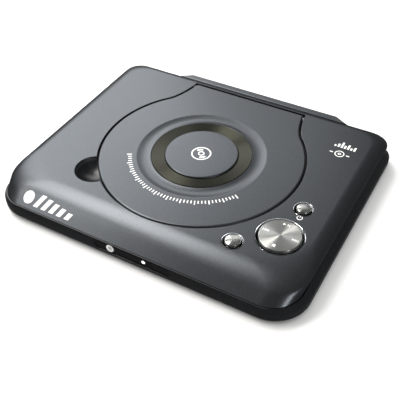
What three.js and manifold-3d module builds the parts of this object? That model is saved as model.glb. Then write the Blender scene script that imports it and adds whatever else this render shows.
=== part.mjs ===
// Compact top-loading disc player: flat case, bell-shaped disc lid, transport pad and two buttons.
// Millimetres, +Z up, +X along the front edge to the right, +Y to the back.
// The origin is the centre of the footprint, on the surface that the feet stand on.

import * as THREE from 'three';
import { mergeVertices } from 'three/addons/utils/BufferGeometryUtils.js';
import Module from 'manifold-3d';

const wasm = await Module();
wasm.setup();

// ---- driving dimensions ----

const gap = 0.3; // running gap between pieces that meet
const round = 16; // facets of a small round piece
const wide = 40; // facets of a large round piece

const base = {
  width: 206,
  depth: 164,
  wall: 2,
  floor: 1.8,
  wallTop: 8.5, // height where the upright outer wall ends and the ledge begins
  roll: 2.7, // rounding under the wall
  frontLean: 0.6, // the ledge at the front is only this wide
  frontRadius: 22,
  rearRadius: 12,
};

const foot = { height: 2.4, radius: 7, sunk: 0.6, edge: 0.5 };
const vent = { count: 6, pitch: 12, width: 3, start: 46, end: 62 }; // slots in the underside

const shell = {
  seam: 12.5, // height of the parting line
  top: 21.5, // height of the flat top
  sideInset: 2.5, // the widest line of the top shell lies this far inside the base
  rearInset: 2.9,
  tuck: 1.6, // the shell leans in by this much down to the parting line
  rollAcross: 9,
  rollDown: 4.5,
  wall: 2,
  shoulderStart: 24, // flat top ends this far behind the base's front
  shoulderRadius: 30,
  shoulderAngle: 33, // degrees
  frontRadius: 18.5,
  rearRadius: 10,
};

const lidFacets = 14;
const lid = {
  centreY: 4.8,
  radius: 66,
  thickness: 2.3,
  seamGap: 0.7,
  neckHalf: 44.5, // half width of the neck where it leaves the circle
  tailHalf: 41.3, // half width at the straight back edge
  tail: 67.6, // centre to the back edge
  neckStart: 53,
  leave: 42, // degrees above the middle where the circle runs out into the neck
  troughOuter: 41.3,
  troughInner: 32.3,
  troughDepth: 1.3,
  ringInner: 23.9,
  ringDepth: 1.2,
  ringSheet: 0.6,
  capRise: 0.2,
  linerRadius: 58,
  linerHole: 16,
  linerSheet: 0.7,
};

const scoop = { x: -51.5, behind: -44.5, radius: 12.3, depth: 6.5, wall: 1.2 };

const hinge = { inset: 2.4, below: 1.2, pinRadius: 0.6, holeRadius: 0.75, pinIn: 5, pinOut: 5, endRoom: 0.9 };

const well = {
  discRadius: 61.5,
  wall: 1.7,
  floorTop: 13.9,
  floor: 1.2,
  flangeTop: 18.4,
  flange: 1.6,
  flangeRadius: 68,
  hubHole: 17,
  slotHalf: 8.5,
  slotEnd: 62, // the pickup's slot runs just into the wall
  tailFloor: 15.6,
  tailHalf: 44.6,
  tailStart: 50,
};

const deck = { left: -24, right: 72, halfDepth: 36.5, bottom: 6.4, sheet: 1.4, damperInset: 4.5 };
const damper = { bore: 1.4, waist: 2.6, flange: 4.2, lip: 1.2, play: 0.2, bossTop: 5, pin: 1.1 };
const spindle = { motorRadius: 13, motorTop: 12.6, shaft: 1, skirt: 12.5, seatRadius: 14.5, seatTop: 16.3 };
const hub = { radius: 7.35, top: 18.2, dimple: 2, matSheet: 0.3, matInner: 10.5 };
const rod = { radius: 1.2, offset: 17.5, height: 9.8, start: 8, end: 70, block: 4, blockHalf: 2.2 };
const sled = { lensStart: 24, halfLength: 7, halfWidth: 20, bottom: 8.4, top: 12.3, pocketPlay: 0.7 };
const lens = {
  halfX: 5.5,
  halfY: 6.5,
  bottom: 10.2,
  top: 12.2,
  rim: 13.8, // top of the ring round the lens
  ring: 3.4,
  bore: 2.5,
  glass: 2.2,
  tip: 14.4,
};
const screwDrive = {
  radius: 1.3,
  offset: 23.5,
  end: 61.5,
  motorRadius: 3.2,
  motorLength: 12,
  blockHalf: 2.4,
};

const board = { sheet: 1.2, mainBottom: 5.2, keyTop: 15.4, jackTop: 12.8 };
// The main board lies in an L round the front and left of the drive.
const mainBoard = { side: 19, front: 7, deep: 35, arm: 38, rear: 20, postInset: 6 };
const jackBoard = { left: -48, right: 40, frontInset: 13.2, backInset: 5, postInset: 4 };
const keyOutline = [[60, -52], [90, -52], [90, -1.5], [60, -1.5]];
const keyPosts = [[86, -8], [71.5, -3.5], [87, -49.5]];
const boardPost = { radius: 2.5, keyRadius: 1.6, rooted: 0.5 }; // rooted: how deep it is set in its wall
const chip = { x: -42, front: 14, side: 18, thick: 1.6 };
const flex = { sheet: 0.3, half: 8, lap: 6, rise: 10 }; // lap: how far it lies on each side

const power = { x: 77, y: -12.2, cap: 4.2, bezelIn: 4.9, bezelOut: 6.1, stem: 1.6, stemEnd: 18.7 };
const release = {
  cap: 4.5,
  bezelIn: 5.2,
  bezelOut: 6.4,
  bearing: -48.25, // degrees round the lid's centre
  reach: 78.8, // from the lid's centre
  shelf: 17.4,
  shelfSheet: 0.6,
};
const spring = { radius: 3.7, wire: 0.2, turns: 2, holeRadius: 2.9, top: 20.6 };
const pad = { x: 74.1, y: -38.4, cap: 12.25, bezelIn: 13.1, bezelOut: 14.25, ringRadius: 8.5, top: 22.8 };
const gimbal = { inner: 2.2, outer: 3.4, bottom: 16.2, top: 17.8, post: 1.6, collar: 4, collarOuter: 5.2 };
const cap = { top: 22.9, foot: 20.3, dome: 0.5 };
const bezelRise = 0.5;
const barrelWall = 0.4;
const switchSide = { power: 6, pad: 4.4 };
const switchTop = { power: 18.1, pad: 19.5 };

// The latch, in radii from the lid's centre along the release button's bearing.
const latch = {
  wedgeFoot: 14.6, // lower end of the button's wedge
  wedgeIn: 77.3,
  wedgeOut: 80.3,
  wedgeHalf: 2.2,
  slope: 64.9, // the catch's sloping wall stands at radius = height + slope
  slopeGap: 0.42,
  bottom: 14,
  top: 17.1,
  start: 70,
  end: 85,
  half: 4,
  nose: 66.6,
  noseSheet: 1,
  window: 75.3,
  railTop: 20.5,
  lip: 1.1,
  hookIn: 64.3,
  hookOut: 66.3,
  hookSheet: 1.2,
};

const housing = {
  footLeft: -58,
  footRight: 71,
  backLeft: -50,
  backRight: 61,
  frontInset: 5.8, // from the back of the base
  backInset: 0.3,
  wall: 1.6,
};
const sockets = { dcX: -35, avX: -5, digitalX: 25, height: 16.6, depth: 6.5, dcBore: 2.6, collar: 0.9 };
const panel = { left: -22.8, right: 27.9, bottom: 5.6, top: 11.4, sunk: 0.6, flange: 0.7, flangeSheet: 1 };
const jack = { x: -12.3, height: 8.6, bore: 1.8, collar: 2.5, half: 3.2, length: 12, behindWall: 2.2 };
const led = { x: 10.4, radius: 1.1, body: 1.4 };
const post = {
  inset: 13, // from the side
  frontInset: 24,
  rearInset: 16,
  radius: 3.2,
  boss: 3.8,
  bossTop: 8.7,
  bottom: 9,
  shank: 1.1,
  hole: 1.4,
  head: 2.5,
  headBottom: 4.2,
  headTop: 5.5,
  aboveSeam: 1.9, // how far the screw reaches past the parting line
};

// ---- materials ----

const material = (color, roughness, metalness) =>
  new THREE.MeshStandardMaterial({ color, roughness, metalness });

const casePaint = material(0x4d5157, 0.4, 0.3);
const baseBlack = material(0x1f2124, 0.35, 0);
const gloss = material(0x0b0c0e, 0.08, 0);
const darkMetal = material(0x2a2a26, 0.35, 0.9);
const steel = material(0xb9bbb8, 0.3, 1);
const chrome = material(0xe2e4e6, 0.08, 1);
const rubber = material(0x151515, 0.9, 0);
const boardGreen = material(0x1e4d33, 0.6, 0);
const greyPlastic = material(0x3a3d40, 0.6, 0);
const glass = material(0x8fa8c8, 0.05, 0);
const amber = material(0x9c7b3a, 0.5, 0);

// ---- solids ----

function solidOf(geometry) {
  const bare = geometry.index ? geometry.toNonIndexed() : geometry.clone();
  bare.deleteAttribute('normal');
  bare.deleteAttribute('uv');
  const merged = mergeVertices(bare, 1e-5);
  const vertProperties = new Float32Array(merged.attributes.position.array);
  const triVerts = new Uint32Array(merged.index.array);
  return new wasm.Manifold(new wasm.Mesh({ numProp: 3, vertProperties, triVerts }));
}

function geometryOf(solid) {
  const mesh = solid.getMesh();
  const geometry = new THREE.BufferGeometry();
  geometry.setAttribute('position', new THREE.BufferAttribute(mesh.vertProperties, 3));
  geometry.setIndex(new THREE.BufferAttribute(mesh.triVerts, 1));
  return geometry;
}

// The two numbers of a stretch in rising order, mirrored on the left side.
function stretch(side, a, b) {
  return [side * a, side * b].sort((low, high) => low - high);
}

function box(x0, x1, y0, y1, z0, z1) {
  const geometry = new THREE.BoxGeometry(x1 - x0, y1 - y0, z1 - z0);
  return solidOf(geometry.translate((x0 + x1) / 2, (y0 + y1) / 2, (z0 + z1) / 2));
}

function cylinder(x, y, radius, z0, z1, facets = round) {
  const geometry = new THREE.CylinderGeometry(radius, radius, z1 - z0, facets);
  return solidOf(geometry.rotateX(Math.PI / 2).translate(x, y, (z0 + z1) / 2));
}

function barY(x, z, radius, y0, y1, facets = round) {
  const geometry = new THREE.CylinderGeometry(radius, radius, y1 - y0, facets);
  return solidOf(geometry.translate(x, (y0 + y1) / 2, z));
}

function barX(y, z, radius, x0, x1, facets = round) {
  const geometry = new THREE.CylinderGeometry(radius, radius, x1 - x0, facets);
  return solidOf(geometry.rotateZ(Math.PI / 2).translate((x0 + x1) / 2, y, z));
}

// A solid of revolution about a vertical axis; the profile is a list of [radius, height].
function turned(x, y, profile, facets = round) {
  const points = profile.map(([radius, height]) => new THREE.Vector2(radius, height));
  if (profile[0][0] > 0) points.push(points[0].clone());
  const geometry = new THREE.LatheGeometry(points, facets);
  return solidOf(geometry.rotateX(Math.PI / 2).translate(x, y, 0));
}

// A ring with a square section, listed from its inner foot upwards.
function ring(x, y, inner, outer, z0, z1, facets = round) {
  return turned(x, y, [[outer, z0], [outer, z1], [inner, z1], [inner, z0]], facets);
}

function slab(shape, z0, z1, curveSegments = 10) {
  const geometry = new THREE.ExtrudeGeometry(shape, { depth: z1 - z0, bevelEnabled: false, curveSegments });
  return solidOf(geometry.translate(0, 0, z0));
}

// An outline in the XZ plane, drawn through a stretch of Y.
function slabY(shape, y0, y1, curveSegments = 10) {
  const geometry = new THREE.ExtrudeGeometry(shape, { depth: y1 - y0, bevelEnabled: false, curveSegments });
  return solidOf(geometry.rotateX(Math.PI / 2).translate(0, y1, 0));
}

function polygon(points) {
  return new THREE.Shape(points.map(([x, y]) => new THREE.Vector2(x, y)));
}

// A rectangle with its own radius at the front and at the rear corners, as a list of points.
function roundedOutline(half, front, rear, frontRadius, rearRadius) {
  const steps = 4;
  const corners = [
    [half - frontRadius, front + frontRadius, frontRadius, -90],
    [half - rearRadius, rear - rearRadius, rearRadius, 0],
    [rearRadius - half, rear - rearRadius, rearRadius, 90],
    [frontRadius - half, front + frontRadius, frontRadius, 180],
  ];
  const points = [];
  for (const [x, y, radius, start] of corners) {
    for (let i = 0; i <= steps; i++) {
      const angle = THREE.MathUtils.degToRad(start + (90 * i) / steps);
      points.push(new THREE.Vector2(x + radius * Math.cos(angle), y + radius * Math.sin(angle)));
    }
  }
  return points;
}

// A closed skin through stacked outlines with equal numbers of points, listed upwards.
function loft(sections) {
  const count = sections[0].points.length;
  const positions = [];
  const index = [];
  for (const { points, z } of sections) {
    for (const point of points) positions.push(point.x, point.y, z);
  }
  for (let level = 0; level + 1 < sections.length; level++) {
    for (let i = 0; i < count; i++) {
      const a = level * count + i;
      const b = level * count + ((i + 1) % count);
      index.push(a, b, b + count, a, b + count, a + count);
    }
  }
  const last = (sections.length - 1) * count;
  for (const [a, b, c] of THREE.ShapeUtils.triangulateShape(sections[0].points, [])) index.push(a, c, b);
  for (const [a, b, c] of THREE.ShapeUtils.triangulateShape(sections.at(-1).points, [])) {
    index.push(last + a, last + b, last + c);
  }
  const geometry = new THREE.BufferGeometry();
  geometry.setAttribute('position', new THREE.Float32BufferAttribute(positions, 3));
  geometry.setIndex(index);
  return solidOf(geometry);
}

const player = new THREE.Group();

function add(name, solid, look, parent = player) {
  const mesh = new THREE.Mesh(solid.getMesh ? geometryOf(solid) : solid, look);
  mesh.name = name;
  parent.add(mesh);
  return mesh;
}

// ---- shared places ----

const halfWidth = base.width / 2;
const frontY = -base.depth / 2;
const rearY = base.depth / 2;
const underside = foot.height - foot.sunk;
const floorTop = underside + base.floor;
const centreY = lid.centreY;
const lidBottom = shell.top - lid.thickness;
const hingeY = centreY + lid.tail - hinge.inset;
const hingeZ = shell.top - hinge.below;
const mainTop = board.mainBottom + board.sheet;
const keyBottom = board.keyTop - board.sheet;
const jackBottom = board.jackTop - board.sheet;
const screwTip = shell.seam + post.aboveSeam;
const housingFront = rearY - housing.frontInset;
const housingBack = rearY - housing.backInset;
const deckTop = deck.bottom + deck.sheet;
const releaseAngle = THREE.MathUtils.degToRad(release.bearing);
const releaseX = release.reach * Math.cos(releaseAngle);
const releaseY = centreY + release.reach * Math.sin(releaseAngle);
const corners = {
  front_left: [post.inset - halfWidth, frontY + post.frontInset],
  front_right: [halfWidth - post.inset, frontY + post.frontInset],
  rear_left: [post.inset - halfWidth, rearY - post.rearInset],
  rear_right: [halfWidth - post.inset, rearY - post.rearInset],
};
const screws = Object.values(corners); // a rubber foot hides each case screw
const boardX = halfWidth - mainBoard.side;
const boardFront = frontY + mainBoard.front;
const boardStep = boardFront + mainBoard.deep;
const boardArm = mainBoard.arm - boardX;
const boardRear = rearY - mainBoard.rear;
// Outline of the main board, as [x, y] corners, and the posts it lies on.
const mainOutline = [
  [-boardX, boardFront], [boardX, boardFront], [boardX, boardStep],
  [boardArm, boardStep], [boardArm, boardRear], [-boardX, boardRear],
];
const mainPosts = [
  [mainBoard.postInset - boardX, boardFront + 5], [boardX - mainBoard.postInset, boardFront + 5],
  [mainBoard.postInset - boardX, boardRear - mainBoard.postInset],
  [boardArm - 4, boardRear - mainBoard.postInset], [0, boardStep - 4],
];
const jackPostY = rearY - (jackBoard.frontInset + jackBoard.backInset) / 2 - 0.4;
const jackPosts = [jackBoard.left + jackBoard.postInset, jackBoard.right - jackBoard.postInset]
  .map((x) => [x, jackPostY]);
const damperX = [deck.left + deck.damperInset, deck.right - deck.damperInset];
const damperY = [-1, 1].map((side) => centreY + side * (deck.halfDepth - deck.damperInset));
const damperPlaces = damperX.flatMap((x) => damperY.map((y) => [x, y]));
const scoopY = centreY + scoop.behind;
const rodY = [centreY - rod.offset, centreY + rod.offset];
const screwY = centreY - screwDrive.offset;
const ringSeat = shell.top - lid.ringDepth;
const socketBack = housingBack - housing.wall - gap;
const socketFront = socketBack - sockets.depth;

// ---- outer shells ----

// Outline of the base at a height, moved inwards by inset.
function baseOutline(z, inset) {
  const ledge = Math.max(0, (z - base.wallTop) / (shell.seam - gap - base.wallTop));
  const rise = Math.min(1, (z - underside) / base.roll);
  const under = base.roll * (1 - Math.sqrt(1 - (1 - rise) ** 2));
  const move = inset + under;
  return roundedOutline(
    halfWidth - move - ledge * (shell.sideInset + shell.tuck - 0.7),
    frontY + move + ledge * base.frontLean,
    rearY - move - ledge * shell.rearInset,
    base.frontRadius - move - ledge * 2.5,
    base.rearRadius - move - ledge,
  );
}

function baseSkin(inset, heights) {
  return loft(heights.map((z) => ({ points: baseOutline(z, inset), z })));
}

function bottomCase() {
  const rollHeights = [0, 0.15, 0.5, 1].map((share) => underside + share * base.roll);
  let solid = baseSkin(0, [...rollHeights, base.wallTop, shell.seam - gap]);
  solid = solid.subtract(baseSkin(base.wall, [floorTop, base.wallTop, shell.seam]));
  const root = underside + boardPost.rooted;
  for (const [x, y] of screws) solid = solid.add(cylinder(x, y, post.boss, root, post.bossTop));
  for (const [x, y] of damperPlaces) {
    solid = solid.add(cylinder(x, y, damper.waist + 0.8, root, damper.bossTop));
    solid = solid.add(cylinder(x, y, damper.pin, root, deckTop + damper.play + damper.lip + 0.4, 12));
  }
  for (const [x, y] of jackPosts) solid = solid.add(cylinder(x, y, boardPost.radius, root, jackBottom, 12));
  for (const [x, y] of mainPosts) {
    solid = solid.add(cylinder(x, y, boardPost.radius, root, board.mainBottom, 12));
  }
  for (const [x, y] of screws) {
    solid = solid.subtract(cylinder(x, y, post.hole, underside - 1, post.bossTop + 1, 12));
    solid = solid.subtract(cylinder(x, y, post.head + gap, underside - 1, post.headTop + gap));
    solid = solid.subtract(cylinder(x, y, foot.radius + gap, underside - 1, foot.height));
  }
  solid = solid.subtract(slabY(windowShape(0), frontY - 1, frontY + base.wall + 1, 6));
  for (let i = 0; i < vent.count; i++) {
    const x = (i - (vent.count - 1) / 2) * vent.pitch;
    const slot = [x - vent.width / 2, x + vent.width / 2, vent.start, vent.end];
    solid = solid.subtract(box(...slot, underside - 1, floorTop + 1));
  }
  return solid;
}

// The window of the front strip, a slot with round ends; grow makes it larger.
function windowShape(grow) {
  const radius = (panel.top - panel.bottom) / 2 + grow;
  const middle = (panel.top + panel.bottom) / 2;
  const left = panel.left - grow + radius;
  const right = panel.right + grow - radius;
  const shape = new THREE.Shape();
  shape.absarc(right, middle, radius, -Math.PI / 2, Math.PI / 2, false);
  shape.absarc(left, middle, radius, Math.PI / 2, 1.5 * Math.PI, false);
  return shape;
}

// How far the front shoulder has come forward of its start, at a depth below the top.
function shoulderReach(depth) {
  const angle = THREE.MathUtils.degToRad(shell.shoulderAngle);
  const arcDepth = shell.shoulderRadius * (1 - Math.cos(angle));
  if (depth > arcDepth) {
    return shell.shoulderRadius * Math.sin(angle) + (depth - arcDepth) / Math.tan(angle);
  }
  return Math.sqrt(shell.shoulderRadius ** 2 - (shell.shoulderRadius - depth) ** 2);
}

// Outline of the top shell at a depth below its flat top, moved inwards by inset.
function shellOutline(depth, inset) {
  const left = Math.max(0, 1 - depth / shell.rollDown);
  const roll = 1 - Math.sqrt(1 - left ** 2);
  const tuck = Math.max(0, (depth - shell.rollDown) / (shell.top - shell.seam - shell.rollDown));
  const half = halfWidth - shell.sideInset - roll * shell.rollAcross - tuck * shell.tuck;
  const front = frontY + shell.shoulderStart - shoulderReach(depth);
  const rear = rearY - shell.rearInset - roll * shell.rollAcross * 0.67 - tuck;
  return roundedOutline(
    half - inset,
    front + inset,
    rear - inset,
    shell.frontRadius + roll * 12 - inset,
    shell.rearRadius + roll * 4 - inset,
  );
}

function shellSkin(inset, drop) {
  const depths = [1, 0.62, 0.3, 0.08, 0].map((share) => share * shell.rollDown);
  const full = shell.top - shell.seam;
  const list = [full, (full + shell.rollDown) / 2, ...depths];
  return loft(list.map((depth) => ({ points: shellOutline(depth, inset), z: shell.top - drop - depth })));
}

// The bell-shaped outline of the lid: a circle that runs through two hollow curves into a straight tail.
function lidShape(grow) {
  const radius = lid.radius + grow;
  const leave = THREE.MathUtils.degToRad(lid.leave);
  const shape = new THREE.Shape();
  const tailY = centreY + lid.tail + grow;
  shape.moveTo(-lid.tailHalf - grow, tailY);
  shape.quadraticCurveTo(
    1 - lid.neckHalf - grow, centreY + lid.neckStart,
    -radius * Math.cos(leave), centreY + radius * Math.sin(leave),
  );
  shape.absarc(0, centreY, radius, Math.PI - leave, 2 * Math.PI + leave, false);
  shape.quadraticCurveTo(
    lid.neckHalf + grow - 1, centreY + lid.neckStart,
    lid.tailHalf + grow, tailY,
  );
  shape.closePath();
  return shape;
}

// A ball-shaped hollow for a fingertip, cut by the flat top along a circle of the scoop's radius.
function scoopBall(grow) {
  const ball = (scoop.radius ** 2 + scoop.depth ** 2) / (2 * scoop.depth);
  const geometry = new THREE.SphereGeometry(ball + grow, 24, 16);
  return solidOf(geometry.translate(scoop.x, scoopY, shell.top - scoop.depth + ball));
}

// The ridge over the sockets; its slanted ends move out further than its straight edges.
function housingShape(grow) {
  const ends = 2.2 * grow;
  return polygon([
    [housing.footLeft - ends, housingFront - grow],
    [housing.footRight + ends, housingFront - grow],
    [housing.backRight + grow, housingBack + grow],
    [housing.backLeft - grow, housingBack + grow],
  ]);
}

function latchFrame(solid) {
  const turn = new THREE.Matrix4().makeRotationZ(releaseAngle).setPosition(0, centreY, 0);
  return solidOf(geometryOf(solid).applyMatrix4(turn));
}

function topCase() {
  let solid = shellSkin(0, 0).subtract(shellSkin(shell.wall, shell.wall));
  const inside = shellSkin(shell.wall - 0.2, shell.wall - 0.2);
  const under = shell.top - shell.wall + 0.2;
  const cup = scoopBall(scoop.wall).intersect(box(-halfWidth, 0, frontY, 0, shell.seam, shell.top - 0.5));
  solid = solid.add(cup.subtract(slab(lidShape(lid.seamGap + gap), 0, 30, lidFacets)));
  solid = solid.subtract(scoopBall(0));
  for (const [x, y] of screws) {
    solid = solid.add(cylinder(x, y, post.radius, post.bottom, screwTip));
    solid = solid.add(cylinder(x, y, post.radius, shell.seam, under).intersect(inside));
  }
  for (const [x, y] of keyPosts) {
    solid = solid.add(cylinder(x, y, boardPost.keyRadius, board.keyTop, under, 12));
  }
  solid = solid.add(latchFrame(latchRails()).intersect(inside));
  solid = solid.subtract(slab(lidShape(lid.seamGap), lidBottom - 3, shell.top + 1, lidFacets));
  for (const [x, y] of screws) solid = solid.subtract(cylinder(x, y, post.hole, 8, screwTip + gap, 12));
  const barrels = [[power.x, power.y, power], [pad.x, pad.y, pad], [releaseX, releaseY, release]];
  for (const [x, y, { bezelIn }] of barrels) {
    const hole = bezelIn + barrelWall + gap;
    solid = solid.subtract(cylinder(x, y, hole, release.shelf - gap, shell.top + 1, wide));
  }
  solid = solid.subtract(slab(housingShape(gap), shell.seam - 1, shell.top + 1));
  const relief = [housing.footLeft + 8, housing.footRight - 18, rearY - 22, housingFront];
  solid = solid.subtract(box(...relief, shell.seam - 1, sockets.height + 3));
  const pinEnd = lid.tailHalf + hinge.pinOut + hinge.endRoom;
  solid = solid.subtract(barX(hingeY, hingeZ, hinge.holeRadius, -pinEnd, pinEnd, 12));
  return solid;
}

// ---- lid ----

function discLid() {
  let solid = slab(lidShape(0), lidBottom, shell.top, lidFacets);
  const dip = [];
  const steps = 5;
  for (let i = 0; i <= steps; i++) {
    const share = i / steps;
    const radius = lid.troughOuter + (lid.troughInner - lid.troughOuter) * share;
    dip.push([radius, shell.top - lid.troughDepth * Math.sin(Math.PI * share * 0.78)]);
  }
  const above = shell.top + 1;
  const profile = [[0, ringSeat], [lid.troughInner, ringSeat], ...dip.reverse(), [lid.troughOuter, above]];
  solid = solid.subtract(turned(0, centreY, [...profile, [0, above]], wide));
  for (const side of [-1, 1]) {
    const ends = stretch(side, lid.tailHalf - hinge.pinIn - gap, lid.tailHalf + 2);
    solid = solid.subtract(barX(hingeY, hingeZ, hinge.holeRadius, ...ends, 12));
  }
  return solid.add(latchFrame(lidHook()));
}

// Hook under the lid's rim that the release catch meets.
function lidHook() {
  const { half, wedgeFoot, hookIn, hookOut, hookSheet } = latch;
  const stalk = box(hookIn, hookIn + hookSheet, -half, half, wedgeFoot, lidBottom + 0.5);
  return stalk.add(box(hookIn + 0.7, hookOut, -half, half, wedgeFoot, wedgeFoot + hookSheet));
}

function centreCap() {
  const top = shell.top + lid.capRise;
  const radius = lid.ringInner - gap;
  const profile = [[0, ringSeat], [radius, ringSeat], [radius, top - 0.8], [radius - 1.6, top], [0, top]];
  return turned(0, centreY, profile, wide);
}

// ---- disc well and drive ----

function discWell() {
  const floor = well.floorTop - well.floor;
  const tailEnd = socketFront - gap;
  const tail = (half, end, z0, z1) => box(-half, half, well.tailStart, end, z0, z1);
  let solid = cylinder(0, centreY, well.discRadius + well.wall, floor, well.flangeTop, wide);
  const flangeBottom = well.flangeTop - well.flange;
  solid = solid.add(cylinder(0, centreY, well.flangeRadius, flangeBottom, well.flangeTop, wide));
  solid = solid.add(tail(well.tailHalf + 1.4, tailEnd, well.tailFloor - well.floor, well.flangeTop));
  solid = solid.subtract(cylinder(0, centreY, well.discRadius, well.floorTop, shell.top, wide));
  solid = solid.subtract(tail(well.tailHalf, tailEnd + 1, well.tailFloor, shell.top)); // open to the rear
  solid = solid.subtract(cylinder(0, centreY, well.hubHole, floor - 1, spindle.seatTop, 32));
  const slot = [well.hubHole - 7, well.slotEnd, centreY - well.slotHalf, centreY + well.slotHalf];
  solid = solid.subtract(box(...slot, floor - 1, spindle.seatTop));
  const hookSlot = box(latch.hookIn - 0.7, latch.end, -latch.half - 1, latch.half + 1, floor - 1, shell.top);
  solid = solid.subtract(latchFrame(hookSlot));
  return solid.subtract(scoopBall(scoop.wall + gap));
}

function deckPlate() {
  const blockTop = rod.height + screwDrive.blockHalf;
  const blockBottom = deck.bottom + boardPost.rooted;
  const plate = [deck.left, deck.right, centreY - deck.halfDepth, centreY + deck.halfDepth];
  let solid = box(...plate, deck.bottom, deckTop);
  solid = solid.subtract(box(20, 60, centreY - 12, centreY + 24, 0, deckTop + 1)); // room under the pickup
  const motorRoom = screwDrive.motorRadius + 0.9;
  const notch = [screwDrive.end, deck.right + 1, screwY - motorRoom, screwY + motorRoom];
  solid = solid.subtract(box(...notch, 0, deckTop + 0.1));
  const inner = [rod.start, rod.start + rod.block];
  const outer = [rod.end - rod.block, rod.end];
  for (const y of rodY) {
    solid = solid.add(box(...inner, y - rod.blockHalf, y + rod.blockHalf, blockBottom, blockTop));
    solid = solid.add(box(...outer, y - rod.blockHalf, y + rod.blockHalf, blockBottom, blockTop));
  }
  const half = screwDrive.blockHalf;
  const drive = [screwDrive.end - rod.block, screwDrive.end];
  solid = solid.add(box(...inner, screwY - half, rodY[0], blockBottom, blockTop));
  solid = solid.add(box(...drive, screwY - half, screwY + half, blockBottom, blockTop));
  for (const y of rodY) {
    solid = solid.subtract(barX(y, rod.height, rod.radius + gap, rod.start + 1, rod.end - 1));
  }
  const screwHole = screwDrive.radius + gap;
  solid = solid.subtract(barX(screwY, rod.height, screwHole, rod.start + 1, screwDrive.end + 1));
  for (const [x, y] of damperPlaces) {
    solid = solid.subtract(cylinder(x, y, damper.waist + gap, 0, deckTop + 1));
  }
  return solid;
}

function rubberDamper(x, y) {
  const { bore, waist, flange, play, lip, bossTop } = damper;
  const low = deck.bottom - play;
  const high = deckTop + play;
  return turned(x, y, [
    [bore, bossTop], [flange, bossTop], [flange, low], [waist, low],
    [waist, high], [flange, high], [flange, high + lip], [bore, high + lip],
  ]);
}

function turntable() {
  const { shaft, skirt, seatRadius, seatTop, motorTop } = spindle;
  const bottom = motorTop + 0.4;
  return turned(0, centreY, [
    [0, deckTop + 0.8], [shaft, deckTop + 0.8], [shaft, bottom], [skirt, bottom],
    [seatRadius, bottom + 1], [seatRadius, seatTop], [hub.radius, seatTop], [hub.radius, hub.top - 0.7],
    [hub.radius - 0.8, hub.top], [hub.dimple, hub.top], [hub.dimple, hub.top - 0.6], [0, hub.top - 0.6],
  ], 32);
}

function spindleMotor() {
  const bore = spindle.shaft + gap;
  return turned(0, centreY, [
    [0, deckTop], [spindle.motorRadius, deckTop], [spindle.motorRadius, spindle.motorTop - 0.8],
    [spindle.motorRadius - 0.8, spindle.motorTop], [bore, spindle.motorTop],
    [bore, deckTop + 0.5], [0, deckTop + 0.5],
  ], 32);
}

function pickupSled() {
  const x0 = sled.lensStart - sled.halfLength;
  const x1 = sled.lensStart + sled.halfLength;
  let solid = box(x0, x1, centreY - sled.halfWidth, centreY + sled.halfWidth, sled.bottom, sled.top);
  const nutEnd = screwY + screwDrive.radius + gap;
  solid = solid.add(box(x0 + 2, x0 + 6, nutEnd, centreY - sled.halfWidth + 1, sled.bottom, sled.top - 1));
  for (const y of rodY) solid = solid.subtract(barX(y, rod.height, rod.radius + gap, x0 - 1, x1 + 1));
  const halfX = lens.halfX + sled.pocketPlay;
  const halfY = lens.halfY + sled.pocketPlay;
  const pocket = [sled.lensStart - halfX, sled.lensStart + halfX, centreY - halfY, centreY + halfY];
  return solid.subtract(box(...pocket, lens.bottom - sled.pocketPlay, sled.top + 1));
}

function lensHolder() {
  const x = sled.lensStart;
  const block = [x - lens.halfX, x + lens.halfX, centreY - lens.halfY, centreY + lens.halfY];
  let solid = box(...block, lens.bottom, lens.top);
  solid = solid.add(cylinder(x, centreY, lens.ring, lens.top - 0.5, lens.rim));
  return solid.subtract(cylinder(x, centreY, lens.bore, lens.top - 1, lens.rim + 1));
}

function objectiveLens() {
  const bottom = lens.top - 1;
  const dome = 0.8;
  const profile = [[0, bottom], [lens.glass, bottom], [lens.glass, lens.tip - dome]];
  for (const angle of [30, 60]) {
    const turn = THREE.MathUtils.degToRad(angle);
    profile.push([lens.glass * Math.cos(turn), lens.tip - dome + dome * Math.sin(turn)]);
  }
  profile.push([0, lens.tip]);
  return turned(sled.lensStart, centreY, profile, 20);
}

// ---- boards ----

function keyBoard() {
  const round = cylinder(0, centreY, well.flangeRadius - 2, 0, shell.top, wide);
  return slab(polygon(keyOutline), keyBottom, board.keyTop).subtract(round);
}

function keySwitch(x, y, kind) {
  const half = switchSide[kind] / 2;
  return box(x - half, x + half, y - half, y + half, board.keyTop, switchTop[kind]);
}

function flexCable() {
  const under = [
    [boardArm - flex.lap, mainTop], [boardArm + flex.rise, mainTop],
    [deck.left - flex.lap, deckTop], [deck.left + flex.lap, deckTop],
  ];
  const line = [...under, ...under.map(([x, z]) => [x, z + flex.sheet]).reverse()];
  return slabY(polygon(line), centreY - flex.half, centreY + flex.half);
}

// ---- buttons ----

// The crown of a bezel and its barrel through the case wall, from the barrel's end outwards and over the top.
function bezelProfile(inner, outer, barrelEnd) {
  const crown = shell.top + bezelRise;
  const barrel = inner + barrelWall;
  return [
    [barrel, barrelEnd], [barrel, shell.top], [outer, shell.top], [outer, crown - 0.2],
    [outer - 0.35, crown], [inner + 0.25, crown], [inner, crown - 0.25],
  ];
}

function bezel({ x, y, bezelIn, bezelOut }, barrelEnd, facets) {
  return turned(x, y, [[bezelIn, barrelEnd], ...bezelProfile(bezelIn, bezelOut, barrelEnd)], facets);
}

// This bezel has a shelf at the bottom of its barrel for the button's spring.
function releaseBezel() {
  const { bezelIn, bezelOut, shelf, shelfSheet } = release;
  const top = shelf + shelfSheet;
  return turned(releaseX, releaseY, [
    [spring.holeRadius, shelf],
    ...bezelProfile(bezelIn, bezelOut, shelf),
    [bezelIn, top],
    [spring.holeRadius, top],
  ]);
}

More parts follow.
